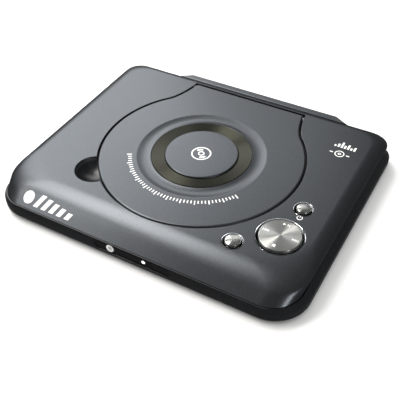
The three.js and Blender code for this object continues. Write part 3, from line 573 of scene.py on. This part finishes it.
# The lid's outline: a circle that runs through two hollow curves into a straight tail.
def bellOutline(grow, arcSteps=132, neckSteps=12):
    radius = place["lidRadius"] + grow
    x0, y0 = place["lidX"], place["lidY"]
    points = []
    for i in range(arcSteps + 1):
        angle = math.radians(180 - bell["leave"] + (180 + 2 * bell["leave"]) * i / arcSteps)
        points.append((x0 + radius * math.cos(angle), y0 + radius * math.sin(angle)))
    start = Vector(points[-1])
    middle = Vector((x0 + bell["neckHalf"] + grow - 1, y0 + bell["neckStart"]))
    end = Vector((x0 + bell["tailHalf"] + grow, y0 + bell["tail"] + grow))
    right = []
    for i in range(1, neckSteps + 1):
        share = i / neckSteps
        right.append(start * (1 - share) ** 2 + middle * 2 * share * (1 - share) + end * share ** 2)
    points += [tuple(p) for p in right]
    points += [(2 * x0 - p[0], p[1]) for p in reversed(right)]
    return points


# ---- casing ----

# One thin skin, rolled over at the sides, with openings for the lid, the trim, the ridge and the scoop.
def topShell():
    top, edge = place["top"], shell["edge"]
    depths = [top - place["seam"], *shell["rows"]]
    for i in range(shell["rollSteps"] + 1):
        depths.append(shell["rollDown"] * (1 - math.sin(math.pi / 2 * i / shell["rollSteps"])))
    piece = loftPiece([shellRing(depth) for depth in depths], closeStart=False)
    thicken(piece, shell["wall"])
    carve(piece, prism(bellOutline(bell["gap"]), top - shell["lidDepth"], top + 1))
    soften(piece, edge["lid"], rim(top), 3)
    for key in ("power", "release", "pad"):
        centre, radius = middleOf(key + "_bezel"), trim[key]["outer"] + shell["bezelGap"]
        low = top - shell["bezelDepth"]
        carve(piece, turnedPiece(centre, [(0, low), (radius, low), (radius, top + 1), (0, top + 1)]))
        soften(piece, edge["bezel"], roundRim(top, centre, radius, 60, 0.2), 2)
    carve(piece, prism(ridgeOutline(ridge["gap"]), place["seam"] - 1, top + 1))
    soften(piece, edge["ridge"], sideRim(ridge["front"] - ridge["gap"], 0.1, top - 1.5), 2)
    carve(piece, scoopBall(0))
    soften(piece, edge["scoop"], roundRim(top, scoopCentre().xy, scoop["radius"], 40), 3)
    return finishPiece(piece, "topShell", "case", looks["lacquer"], ["top_case"])


ridge = {
    "footLeft": -58, "footRight": 71, "backLeft": -50, "backRight": 61, "front": 76.2, "back": 81.7,
    "gap": 0.3, "edge": 0.9, "cornerEdge": 0.8, "wall": 1.6, "splay": 2.2, "socketGap": 1.2,
}


def ridgeOutline(grow):
    ends = ridge["splay"] * grow
    return [
        (ridge["footRight"] + ends, ridge["front"] - grow),
        (ridge["backRight"] + grow, ridge["back"] + grow),
        (ridge["backLeft"] - grow, ridge["back"] + grow),
        (ridge["footLeft"] - ends, ridge["front"] - grow),
    ]


# The ridge at the back stands over the sockets; its long edges are rounded.
def rearRidge():
    top, back, wall = place["top"], ridge["back"], ridge["wall"]
    piece = prism(ridgeOutline(0), place["seam"], top)
    soften(piece, ridge["edge"], rim(top, 30), 4)
    soften(piece, ridge["cornerEdge"], lambda a, b, angle: (
        angle > 20 and near(a.x, b.x) and near(a.y, b.y) and abs(a.z - b.z) > 3), 4)
    hollow = [
        (ridge["footRight"] - 3, ridge["front"] - 1), (ridge["backRight"] - 1, back - wall),
        (ridge["backLeft"] + 1, back - wall), (ridge["footLeft"] + 3, ridge["front"] - 1)]
    carve(piece, prism(hollow, place["seam"] - 1, top - wall))
    for socket in ("dc_in_socket", "av_out_socket", "digital_out_socket"):
        radius = socketRow[socket] + ridge["socketGap"]
        carve(piece, sideBar(middleOf(socket)[0], socketRow["height"], radius, back - 3, back + 1))
    soften(piece, 0.25, sideRim(back), 2)
    return finishPiece(piece, "rearRidge", "case", looks["lacquer"], ["rear_jack_housing"])


socketRow = {"height": 16.6, "dc_in_socket": 2.6, "av_out_socket": 1.8, "digital_out_socket": 1.8}


# A round bar along Y, from one depth to another.
def sideBar(x, z, radius, start, end, steps=48):
    bpy.ops.object.select_all(action="DESELECT")
    bpy.ops.mesh.primitive_cylinder_add(
        vertices=steps, radius=radius, depth=end - start,
        location=(x, (start + end) / 2, z), rotation=(math.pi / 2, 0, 0))
    bar = bpy.context.object
    bpy.ops.object.transform_apply(location=True, rotation=True, scale=True)
    return bar


scoop = {"x": -51.5, "behind": -44.5, "radius": 12.3, "depth": 6.5, "wall": 1.2, "lip": (0.35, 0.25)}


def scoopRadius():
    return (scoop["radius"] ** 2 + scoop["depth"] ** 2) / (2 * scoop["depth"])


def scoopCentre():
    height = place["top"] - scoop["depth"] + scoopRadius()
    return Vector((scoop["x"], place["lidY"] + scoop["behind"], height))


# The hollow for a fingertip is part of a ball, which the flat top cuts along a circle.
def scoopBall(grow, steps=24):
    centre, ball = scoopCentre(), scoopRadius() + grow
    profile = []
    for i in range(steps + 1):
        angle = math.radians(-90 + 180 * i / steps)
        reach = abs(ball * math.cos(angle)) if 0 < i < steps else 0
        profile.append((reach, centre.z + ball * math.sin(angle)))
    return turnedPiece(centre.xy, profile)


# The cup is a satin bowl of black acrylic, cut off below the lid where it runs under it.
def scoopCup(steps=20):
    centre = scoopCentre()
    ball = centre.z - place["top"] + scoop["depth"]
    outer = ball + scoop["wall"]
    reach = math.asin(scoop["radius"] / ball)
    turns = [reach * i / steps for i in range(1, steps + 1)]
    inside = [(ball * math.sin(turn), centre.z - ball * math.cos(turn)) for turn in turns]
    under = [(outer * math.sin(turn), centre.z - outer * math.cos(turn)) for turn in reversed(turns[:-1])]
    lip = (inside[-1][0] - scoop["lip"][0], inside[-1][1] - scoop["lip"][1])
    profile = [(0, centre.z - ball), *inside[:-1], lip, *under, (0, centre.z - outer)]
    piece = turnedPiece(centre.xy, profile)
    carve(piece, prism(bellOutline(bell["gap"] + 0.2), place["top"] - 3.3, place["top"] + 2))
    return finishPiece(piece, "scoopCup", "case", looks["satinCup"])


feetNodes = ["foot_front_left", "foot_front_right", "foot_rear_left", "foot_rear_right"]
base = {
    "wallTop": 8.5,
    "roll": 2.7,
    "frontLean": 0.6,
    "sideLean": 3.4,
    "rearLean": 2.9,
    "frontRadius": 22,
    "rearRadius": 12,
    "ledgeCorner": 2.5,  # how much the front corners tighten up the ledge
    "wall": 2,
    "rollSteps": 8,
    "cornerSteps": 14,
    "lip": 0.8,
    "lipLean": 0.09,
    "lipSteps": 4,
    "footGap": 0.3,
    "footSunk": 0.6,
    "edge": {"bottom": 0.25, "window": 0.2},
}


def baseRing(z, ledge, inset):
    outline = roundedOutline(
        place["half"] - inset - ledge * base["sideLean"],
        place["front"] + inset + ledge * base["frontLean"],
        place["rear"] - inset - ledge * base["rearLean"],
        base["frontRadius"] - inset - base["ledgeCorner"] * ledge,
        base["rearRadius"] - inset - ledge,
        base["cornerSteps"],
    )
    return [(x, y, z) for x, y in outline]


# The base is an upright black wall with a ledge above it that leans in to the seam.
def baseShell():
    low, seam, front = place["underside"], place["seam"] - 0.3, place["front"]
    rings = []
    for i in range(base["rollSteps"] + 1):
        turn = math.pi / 2 * i / base["rollSteps"]
        z = low + base["roll"] * (1 - math.cos(turn))
        rings.append(baseRing(z, 0, base["roll"] * (1 - math.sin(turn))))
    for i in range(base["lipSteps"] + 1):
        share = i / base["lipSteps"]
        rings.append(baseRing(base["wallTop"] - base["lip"] * (1 - share), base["lipLean"] * share ** 2, 0))
    rings.append(baseRing(base["wallTop"] + 1.2, 0.40, 0))
    rings.append(baseRing(seam - 0.5, 0.93, 0))
    rings.append(baseRing(seam, 1, 0))
    piece = loftPiece(rings, closeEnd=False)
    thicken(piece, base["wall"])
    for i in range(vent["count"]):
        x = (i - (vent["count"] - 1) / 2) * vent["pitch"]
        carve(piece, prism(slotOutline(x, vent["start"], vent["end"], vent["width"] / 2), low - 1, low + 4))
    for foot in feetNodes:
        x, y = middleOf(foot)
        radius = cadBox(foot)[1].x - x + base["footGap"]
        sunk = low + base["footSunk"]
        carve(piece, turnedPiece((x, y), [(0, low - 1), (radius, low - 1), (radius, sunk), (0, sunk)], 64))
    soften(piece, base["edge"]["bottom"], rim(low), 2)
    carve(piece, windowPrism(0, front - 1, front + base["wall"] + 1))
    soften(piece, base["edge"]["window"], lambda a, b, angle: (
        angle > 60 and max(a.y, b.y) < front + 0.3 and a.z > 4 and b.z > 4), 2)
    return finishPiece(piece, "baseShell", "case", looks["blackAbs"], ["bottom_case"])


vent = {"count": 6, "pitch": 12, "width": 3, "start": 46, "end": 62}


def slotOutline(x, start, end, radius):
    points = []
    for middle, first in ((start + radius, 180), (end - radius, 0)):
        for i in range(9):
            angle = math.radians(first + 180 * i / 8)
            points.append((x + radius * math.cos(angle), middle + radius * math.sin(angle)))
    return points


# ---- front strip ----

strip = {
    "left": -22.8, "right": 27.9, "bottom": 5.6, "top": 11.4, "height": 8.6, "sunk": 0.6, "thick": 3,
    "gap": 0.25, "edge": 0.35, "jackX": -12.3, "jackHole": 2.7, "lightX": 10.4, "lightHole": 1.3,
}


# The slot in the front wall, with round ends, drawn through a stretch of Y.
def windowPrism(grow, start, end):
    radius = (strip["top"] - strip["bottom"]) / 2 + grow
    middle = (strip["top"] + strip["bottom"]) / 2
    outline = []
    for x, first in ((strip["right"] + grow - radius, -90), (strip["left"] - grow + radius, 90)):
        for i in range(17):
            angle = math.radians(first + 180 * i / 16)
            outline.append((x + radius * math.cos(angle), middle + radius * math.sin(angle)))
    return loftPiece([[(x, y, z) for x, z in outline] for y in (start, end)])


def stripWindow():
    face = place["front"] + strip["sunk"]
    piece = windowPrism(-strip["gap"], face, face + strip["thick"])
    soften(piece, strip["edge"], sideRim(face), 3)
    for key in ("jack", "light"):
        carve(piece, sideBar(strip[key + "X"], strip["height"], strip[key + "Hole"], face - 1, face + 4))
    return finishPiece(piece, "stripWindow", "case", looks["acrylic"], ["front_panel"])


# ---- bezels, buttons and dial ----

smallCap = {"dome": 0.35, "skirt": 0.4, "depth": 2.1, "roof": 1.05, "stem": 1.6}
trim = {
    "power": {"outer": 6.1, "inner": 4.9, "cap": 4.2, **smallCap},
    "release": {"outer": 6.4, "inner": 5.2, "cap": 4.5, **smallCap},
    "pad": {
        "outer": 14.25, "inner": 13.1, "cap": 12.25, "dome": 0.15, "skirt": 0.8, "depth": 2.3, "roof": 1.2,
        "stem": 5.2, "bore": 4.1},
}
bezel = {"slope": 1.15, "shelf": 1.8, "flange": 1.2, "wall": 0.4}


# A bright ring let into the case: it slopes down inwards to the gap round its button.
def bezelRing(name, key):
    node, inner, outer = key + "_bezel", trim[key]["inner"], trim[key]["outer"]
    top, bottom = place["top"], cadBox(node)[0].z
    low, wall = top - bezel["slope"], inner + bezel["wall"]
    profile = [
        (inner, bottom), (inner, low), (inner + 0.12, low + 0.12),
        (outer - 0.45, top + 0.02), (outer - 0.3, top + 0.1), (outer - 0.12, top + 0.08),
        (outer, top - 0.02), (outer, top - bezel["flange"]), (wall, top - bezel["shelf"]), (wall, bottom),
    ]
    ring = turnedPiece(middleOf(node), profile, 128, closed=True)
    piece = finishPiece(ring, name, "case", looks["chrome"], [node])
    piece.data.materials.append(looks["blackAbs"])  # only the sloping face is plated
    for face in piece.data.polygons:
        if face.center.z < low * mm:
            face.material_index = 1
    return piece


# A slightly domed metal cap with a rounded rim. It is a thin shell round its stem, and the release
# cap's hollow swallows its spring when it is pressed. The dial's stem is a collar with a bore.
def buttonCap(name, key, node, body, look, edge=0.55, steps=6):
    size = trim[key]
    low, high = cadBox(node)
    top, radius = high.z, size["cap"]
    profile = [(0, top)]
    for i in range(1, steps + 1):
        share = i / steps
        profile.append(((radius - edge) * share, top - size["dome"] * share ** 2))
    rimTop = profile[-1][1]
    for i in range(1, steps + 1):
        angle = math.pi / 2 * i / steps
        profile.append((radius - edge + edge * math.sin(angle), rimTop - edge * (1 - math.cos(angle))))
    under, roof, inner = top - size["depth"], top - size["roof"], radius - size["skirt"]
    profile += [(radius, under), (inner, under), (inner, roof), (size["stem"], roof), (size["stem"], low.z)]
    bore = size.get("bore")
    profile += [(bore, low.z), (bore, roof), (0, roof)] if bore else [(0, low.z)]
    cap = turnedPiece(middleOf(node), profile, 128)
    return finishPiece(cap, name, body, looks[look], [node])


# ---- lid ----

dish = {"outer": 41.3, "inner": 32.3, "depth": 0.75, "seat": 1.2, "sweep": 0.86, "steps": 16}
lidEdge = {"top": 1.4, "bottom": 0.3, "dish": 0.5, "lip": 0.3}


def dishDepth(radius):
    share = (dish["outer"] - radius) / (dish["outer"] - dish["inner"])
    return dish["depth"] * math.sin(math.pi * share * dish["sweep"])


# The lid is one plate with a dished ring pressed into it and a flat seat for its trim.
def lidPlate():
    top = place["top"]
    low = cadBox("lid_liner")[1].z
    centre = (place["lidX"], place["lidY"])
    piece = prism(bellOutline(0), low, top)
    soften(piece, lidEdge["top"], rim(top), 6)
    soften(piece, lidEdge["bottom"], rim(low), 2)
    profile = [(0, top - dish["seat"]), (dish["inner"], top - dish["seat"])]
    for i in range(dish["steps"] + 1):
        radius = dish["inner"] + (dish["outer"] - dish["inner"]) * i / dish["steps"]
        profile.append((radius, top - dishDepth(radius)))
    profile += [(dish["outer"] + 0.001, top + 1), (0, top + 1)]
    carve(piece, turnedPiece(centre, profile, 160))
    soften(piece, lidEdge["dish"], roundRim(top, centre, dish["outer"]), 3)
    soften(piece, lidEdge["lip"], roundRim(top - dishDepth(dish["inner"]), centre, dish["inner"]), 3)
    return finishPiece(piece, "lidPlate", "lid", looks["lacquer"], ["disc_lid"], angle=28)


# Profile of the dark ring: (in from its inner edge, height) and (in from its outer edge, height).
ringShape = {"inner": [(0, 0), (0, 0.35), (0.3, 0.4)], "outer": [(0.6, 1.0), (0.2, 1.08), (0, 0.95), (0, 0)]}


def lidRing():
    low = cadBox("lid_ring")[0].z
    inner, outer = cadBox("lid_centre_cap")[1].x + 0.1, dish["inner"] - 0.25
    profile = [(inner + reach, low + height) for reach, height in ringShape["inner"]]
    profile += [(outer - reach, low + height) for reach, height in ringShape["outer"]]
    ring = turnedPiece((place["lidX"], place["lidY"]), profile, 160, closed=True)
    return finishPiece(ring, "lidRing", "lid", looks["ring"], ["lid_ring"])


def lidCap(edge=1.1, flat=6, steps=8):
    low, high = cadBox("lid_centre_cap")
    radius = high.x
    profile = [(0, high.z), (radius - flat, high.z)]
    for i in range(1, steps + 1):
        angle = math.pi / 2 * i / steps
        profile.append((radius - edge + edge * math.sin(angle), high.z - edge * (1 - math.cos(angle))))
    profile += [(radius, low.z), (0, low.z)]
    disc = turnedPiece((place["lidX"], place["lidY"]), profile, 160)
    return finishPiece(disc, "lidCap", "lid", looks["lacquer"], ["lid_centre_cap"])


# ---- inside, seen when the lid is open ----

def circleOutline(x, y, radius, steps=128):
    turns = [2 * math.pi * i / steps for i in range(steps)]
    return [(x + radius * math.cos(turn), y + radius * math.sin(turn)) for turn in turns]


def boxOutline(x0, x1, y0, y1):
    return [(x0, y0), (x1, y0), (x1, y1), (x0, y1)]


well = {
    "disc": 61.5, "wall": 1.7, "floorTop": 13.9, "floor": 1.2, "rimTop": 18.4, "rim": 1.6, "rimRadius": 67.9,
    "hubHole": 17, "slotHalf": 8.5, "slotEnd": 62, "tailFloor": 15.6, "tailHalf": 44.6, "tailStart": 50,
    "tailEnd": 73.3, "tailWall": 1.4, "catchLong": 6, "catchHalf": 4, "edge": 0.4,
}


# The tray under the lid: a round well for the disc, with a hub hole and the pickup's slot.
def wellTray():
    x, y = place["lidX"], place["lidY"]
    rimTop, half, wall = well["rimTop"], well["tailHalf"], well["tailWall"]
    low = well["floorTop"] - well["floor"]
    piece = prism(circleOutline(x, y, well["disc"] + well["wall"]), low, rimTop)
    carve(piece, prism(circleOutline(x, y, well["rimRadius"]), rimTop - well["rim"], rimTop), "UNION")
    tail = boxOutline(-half - wall, half + wall, well["tailStart"], well["tailEnd"])
    carve(piece, prism(tail, well["tailFloor"] - well["floor"], rimTop), "UNION")
    carve(piece, prism(circleOutline(x, y, well["disc"]), well["floorTop"], rimTop + 1))
    tail = boxOutline(-half, half, well["tailStart"], well["tailEnd"] + 1)
    carve(piece, prism(tail, well["tailFloor"], rimTop + 1))
    carve(piece, prism(circleOutline(x, y, well["hubHole"], 96), low - 1, rimTop + 1))
    slot = slotAlongX(x + well["hubHole"] - 7, x + well["slotEnd"], y, well["slotHalf"])
    carve(piece, prism(slot, low - 1, cadBox("turntable")[1].z - 2))
    centre = Vector((x, y))
    along = (Vector(middleOf("release_button")) - centre).normalized()
    across = Vector((-along.y, along.x))
    reach = (Vector(middleOf("release_catch")) - centre).length
    long, wide = well["catchLong"], well["catchHalf"]
    sides = ((-long, -wide), (long, -wide), (long, wide), (-long, wide))
    corners = [tuple(centre + along * (reach + a) + across * b) for a, b in sides]
    carve(piece, prism(corners, low - 1, rimTop + 1))
    carve(piece, scoopBall(scoop["wall"] + 0.3))
    soften(piece, well["edge"], roundRim(rimTop, (x, y), well["disc"], 60, 0.1), 3)
    return finishPiece(piece, "wellTray", "case", looks["innerAbs"], ["disc_well"])


# A rectangle along X with one round end, like the path of the pickup's lens.
def slotAlongX(x0, x1, y, half):
    radius = 3
    points = [(x0, y - half)]
    for corner, first in ((y - half + radius, -90), (y + half - radius, 0)):
        for i in range(9):
            angle = math.radians(first + 90 * i / 8)
            points.append((x1 - radius + radius * math.cos(angle), corner + radius * math.sin(angle)))
    return points + [(x0, y + half)]


def roundedProfile(corners, radius, steps=4):
    points = []
    for before, corner, after in zip(corners[-1:] + corners[:-1], corners, corners[1:] + corners[:1]):
        if corner[0] == 0:
            points.append(corner)
            continue
        here, back, ahead = Vector(corner), Vector(before) - Vector(corner), Vector(after) - Vector(corner)
        size = min(radius, back.length / 2.2, ahead.length / 2.2)
        start, end = here + back.normalized() * size, here + ahead.normalized() * size
        for i in range(steps + 1):
            share = i / steps
            point = start * (1 - share) ** 2 + here * 2 * share * (1 - share) + end * share ** 2
            points.append(tuple(point))
    return points


# A round piece on a node's own middle, from (radius, height) corners that are rounded a little.
def roundPiece(name, node, body, look, corners, radius=0.3, closed=False, steps=96):
    profile = roundedProfile(corners, radius)
    return finishPiece(turnedPiece(middleOf(node), profile, steps, closed), name, body, look, [node])


drive = {
    "bore": 1, "deck": 13.0, "deckReach": 12.5, "skirt": 14.0, "reach": 14.5, "hub": 7.35, "hubEdge": 0.8,
    "hubDrop": 0.7, "dimple": 2, "dimpleDepth": 0.6, "matInner": 10.5, "canEdge": 0.8, "shaft": 1.3,
    "canSole": 0.5, "lensDome": 0.9,
}


def spinDrive():
    low, high = cadBox("turntable")
    seat = cadBox("turntable_mat")[0].z
    hub, dimple = drive["hub"], high.z - drive["dimpleDepth"]
    roundPiece("spinTable", "turntable", "spindle", looks["innerAbs"], [
        (0, low.z), (drive["bore"], low.z), (drive["bore"], drive["deck"]),
        (drive["deckReach"], drive["deck"]), (drive["reach"], drive["skirt"]), (drive["reach"], seat),
        (hub, seat), (hub, high.z - drive["hubDrop"]), (hub - drive["hubEdge"], high.z),
        (drive["dimple"], high.z), (drive["dimple"], dimple), (0, dimple)], 0.25)
    low, high = cadBox("turntable_mat")
    roundPiece("spinMat", "turntable_mat", "spindle", looks["rubber"], [
        (drive["matInner"], low.z), (high.x, low.z), (high.x, high.z), (drive["matInner"], high.z)],
        0.08, closed=True)
    low, high = cadBox("spindle_motor")
    sole = low.z + drive["canSole"]
    roundPiece("motorCan", "spindle_motor", "case", looks["steel"], [
        (0, low.z), (high.x, low.z), (high.x, high.z - drive["canEdge"]),
        (high.x - drive["canEdge"], high.z), (drive["shaft"], high.z), (drive["shaft"], sole),
        (0, sole)], 0.3)


def lensGlass():
    low, high = cadBox("objective_lens")
    radius, dome = (high.x - low.x) / 2, drive["lensDome"]
    profile = [(0, low.z), (radius, low.z), (radius, high.z - dome)]
    for degrees in range(8, 89, 8):
        turn = math.radians(degrees)
        profile.append((radius * math.cos(turn), high.z - dome + dome * math.sin(turn)))
    lens = turnedPiece(middleOf("objective_lens"), profile + [(0, high.z)], 64)
    return finishPiece(lens, "lensGlass", "lens", looks["lensGlass"], ["objective_lens"])


def lidUnderside(inner=16):
    low, high = cadBox("lid_liner")
    roundPiece("linerDisc", "lid_liner", "lid", looks["innerAbs"], [
        (inner, low.z), (high.x, low.z), (high.x, high.z), (inner, high.z)], 0.25, closed=True, steps=128)


# ---- underside, sockets and light ----

def feet():
    for node in feetNodes:
        low, high = cadBox(node)
        radius = (high.x - low.x) / 2
        name = node.title().replace("_", "")
        roundPiece(name[0].lower() + name[1:], node, "case", looks["rubber"], [
            (0, low.z), (radius, low.z), (radius, high.z), (0, high.z)], 0.6, steps=64)


# Local heights run towards the front, so a face at the front has the largest.
def frontPiece(name, node, look, x, z, corners, radius, closed=False):
    piece = turnedPiece((0, 0), roundedProfile(corners, radius), 64, closed)
    piece.rotation_euler = (math.pi / 2, 0, 0)
    piece.location = (x, 0, z)
    only(piece)
    bpy.ops.object.transform_apply(location=True, rotation=True, scale=True)
    return finishPiece(piece, name, "case", look, [node])


def socketsAndLight():
    low, high = cadBox("jack_collar")
    # The jack ring's white is a painted reflection, not the colour of the ring.
    frontPiece("jackRing", "jack_collar", looks["jackReflection"], strip["jackX"], strip["height"], [
        (1.8, -high.y), (2.5, -high.y), (2.5, -low.y), (1.8, -low.y)], 0.2, closed=True)
    low, high = cadBox("status_led")
    frontPiece("statusLight", "status_led", looks["light"], strip["lightX"], strip["height"], [
        (0, -high.y), (1.35, -high.y), (1.35, -low.y - 3), (1.1, -low.y - 3), (1.1, -low.y),
        (0, -low.y)], 0.25)


# ---- printed marks ----

ink = {"sunk": 0.04, "proud": 0.03}


def bar(x0, x1, y0, y1, z):
    return prism([(x0, y0), (x1, y0), (x1, y1), (x0, y1)], z - ink["sunk"], z + ink["proud"])


def hoop(x, y, inner, outer, z, start=0, end=360, steps=48):
    low, high = z - ink["sunk"], z + ink["proud"]
    if end - start >= 360:
        corners = [(inner, low), (outer, low), (outer, high), (inner, high)]
        return turnedPiece((x, y), corners, steps, closed=True)
    angles = [math.radians(start + (end - start) * i / steps) for i in range(steps + 1)]
    outline = [(x + outer * math.cos(a), y + outer * math.sin(a)) for a in angles]
    outline += [(x + inner * math.cos(a), y + inner * math.sin(a)) for a in reversed(angles)]
    return prism(outline, low, high)


def wedge(x, y, size, z, side=1):
    half = size / 2
    corners = [(x - side * half, y - half), (x + side * half, y), (x - side * half, y + half)]
    return prism(corners, z - ink["sunk"], z + ink["proud"])


def printMark(name, body, parts):
    only(*parts)
    bpy.ops.object.join()
    return finishPiece(bpy.context.object, name, body, looks["ink"])


ticks = {"inner": 44.2, "outer": 46.6, "start": 209, "end": 326, "count": 44, "width": 0.7}


def lidMarks():
    x, y = place["lidX"], place["lidY"]
    top = place["top"]
    parts = []
    for i in range(ticks["count"] + 1):
        angle = ticks["start"] + (ticks["end"] - ticks["start"]) * i / ticks["count"]
        spread = math.degrees(ticks["width"] / ticks["inner"]) / 2
        outer = ticks["outer"] + (0.9 if i % 4 == 0 else 0)
        parts.append(hoop(x, y, ticks["inner"], outer, top, angle - spread, angle + spread, 1))
    printMark("tickArc", "lid", parts)
    z = cadBox("lid_centre_cap")[1].z
    y -= 0.5
    printMark("discSymbol", "lid", [
        hoop(x, y, 5.5, 6.4, z), hoop(x, y, 1.3, 2.1, z),
        hoop(x, y, 3.1, 4.5, z, 100, 160, 12), hoop(x, y, 3.1, 4.5, z, 280, 340, 12)])


def caseMarks():
    top = place["top"]
    heights = (1.6, 3.4, 5.6, 3.0, 4.6, 2.2, 3.8)
    meter = [bar(71 + 2.1 * i, 72.3 + 2.1 * i, 51.2, 51.2 + h, top) for i, h in enumerate(heights)]
    printMark("levelSymbol", "case", meter)
    printMark("smallDiscSymbol", "case", [
        hoop(77, 44.8, 2.5, 3.1, top), hoop(77, 44.8, 0.6, 1.1, top),
        bar(70.5, 72.7, 44.4, 45.2, top), bar(81.3, 83.5, 44.4, 45.2, top)])
    printMark("powerSymbol", "case", [
        hoop(77.7, -19.8, 1.3, 1.75, top, 125, 415, 32), bar(77.48, 77.92, -19.6, -17.8, top)])


# Height of the front shoulder's skin where it is a distance from the back.
def slopeHeight(y):
    low, high = 0.0, 9.0
    for i in range(30):
        middle = (low + high) / 2
        if place["front"] + shell["shoulderStart"] - shoulderReach(middle) > y:
            low = middle
        else:
            high = middle
    return place["top"] - low


# Ink laid on the sloping front: its two sides are given as functions of the share of its height.
def slopeInk(y0, y1, left, right, steps=10):
    rings = []
    for i in range(steps + 1):
        share = i / steps
        y = y0 + (y1 - y0) * share
        z = slopeHeight(y)
        x0, x1 = left(share), right(share)
        rings.append([
            (x0, y, z - 0.06), (x1, y, z - 0.06), (x1, y - 0.02, z + 0.035), (x0, y - 0.02, z + 0.035)])
    return loftPiece(rings)


emblem = {"left": -79, "front": -78.6, "back": -71.4, "width": 3.2, "gap": 2.6, "lean": 3.4, "bars": 5}


def frontEmblem():
    dot = (emblem["back"] - emblem["front"]) / 2
    side = lambda share: dot * math.sqrt(max(0.0, 1 - (2 * share - 1) ** 2))
    middle = emblem["left"] + dot
    parts = [slopeInk(
        emblem["front"] + 0.02, emblem["back"] - 0.02,
        lambda s: middle - side(s) - 0.05, lambda s: middle + side(s) + 0.05, 20)]
    for i in range(emblem["bars"]):
        x = emblem["left"] + 2 * dot + emblem["gap"] * 0.6 + i * (emblem["width"] + emblem["gap"])
        back = emblem["back"] - 0.9 * i
        reach = (back - emblem["front"]) / (emblem["back"] - emblem["front"])
        parts.append(slopeInk(
            emblem["front"], back, lambda s, x=x, reach=reach: x + emblem["lean"] * s * reach,
            lambda s, x=x, reach=reach: x + emblem["width"] + emblem["lean"] * s * reach))
    return printMark("frontEmblem", "case", parts)


def dialMarks():
    x, y = middleOf("transport_pad")
    reach = 8.8
    z = cadBox("transport_pad")[1].z - 0.15 * (reach / 11.7) ** 2
    size = 1.7
    printMark("backSymbol", "pad", [
        bar(x - reach - 1.9, x - reach - 1.5, y - size / 2, y + size / 2, z),
        wedge(x - reach - 0.55, y, size, z, -1), wedge(x - reach + 1.1, y, size, z, -1)])
    printMark("nextSymbol", "pad", [
        bar(x + reach + 1.5, x + reach + 1.9, y - size / 2, y + size / 2, z),
        wedge(x + reach + 0.55, y, size, z), wedge(x + reach - 1.1, y, size, z)])
    printMark("playSymbol", "pad", [
        wedge(x - 1.2, y + reach, size, z),
        bar(x + 0.5, x + 1.0, y + reach - size / 2, y + reach + size / 2, z),
        bar(x + 1.5, x + 2.0, y + reach - size / 2, y + reach + size / 2, z)])
    printMark("stopSymbol", "pad", [
        bar(x - 0.9, x + 0.9, y - reach - 0.9, y - reach + 0.9, z)])


# Dresses a piece that keeps its own shape.
def dress(look, *nodes):
    for node in nodes:
        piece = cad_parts[node]
        piece.data.materials.clear()
        piece.data.materials.append(looks[look])


# ---- making ----

makeCamera()
steelTones = ("989996", "b4b5b2")
looks = {
    "lacquer": metallicLacquer(),
    "blackAbs": blackAbs(),
    "acrylic": blackAcrylic(),
    "satinCup": satinAcrylic(),
    "chrome": chromePlate(),
    "ring": spunMetal(
        "spun dark anodised aluminium", ("292923", "3b3b34"), (place["lidX"], place["lidY"]), 0.33, 1.0),
    "dial": spunMetal("spun stainless steel, dial", steelTones, middleOf("transport_pad"), 0.34, 0.93),
    "powerCap": spunMetal("spun stainless steel, power", steelTones, middleOf("power_button"), 0.24, 0.8),
    "releaseCap": spunMetal(
        "spun stainless steel, release", steelTones, middleOf("release_button"), 0.24, 0.8),
    "ink": whiteInk(),
    "rubber": mouldedRubber(),
    "innerAbs": innerAbs(),
    "steel": plainSteel(),
    "board": circuitBoard(),
    "epoxy": chipEpoxy(),
    "film": amberFilm(),
    "lensGlass": coatedGlass(),
    # the jack ring's look is white paint standing for a reflection
    "jackReflection": paintedReflectionWhite(),
    "light": litLens(),
}
makeStudio()
print("camera, studio and materials ready")

topShell()
rearRidge()
scoopCup()
baseShell()
stripWindow()
print("casing done")

bezelRing("powerBezel", "power")
bezelRing("releaseBezel", "release")
bezelRing("dialBezel", "pad")
buttonCap("powerCap", "power", "power_button", "power_key", "powerCap")
buttonCap("releaseCap", "release", "release_button", "release_key", "releaseCap")
buttonCap("dialCap", "pad", "transport_pad", "pad", "dial")
print("buttons done")

lidPlate()
lidRing()
lidCap()
lidUnderside()
print("lid done")

wellTray()
spinDrive()
lensGlass()
feet()
socketsAndLight()
dress(
    "innerAbs", "headphone_jack", "dc_in_socket", "av_out_socket", "digital_out_socket", "lens_holder",
    "pickup_sled", "release_catch", "pad_gimbal", "pad_post", "power_switch", "pad_switch_right",
    "pad_switch_back", "pad_switch_left", "pad_switch_front")
dress(
    "steel", "case_screw_front_left", "case_screw_front_right", "case_screw_rear_left",
    "case_screw_rear_right", "hinge_pin_left", "hinge_pin_right", "drive_deck", "guide_rod_front",
    "guide_rod_rear", "lead_screw", "sled_motor", "release_spring")
dress("board", "main_board", "key_board", "jack_board")
dress("rubber", "damper_1", "damper_2", "damper_3", "damper_4")
dress("epoxy", "decoder_chip")
dress("film", "flex_cable")
print("inside and underside done")

lidMarks()
caseMarks()
frontEmblem()
dialMarks()
print("marks done")
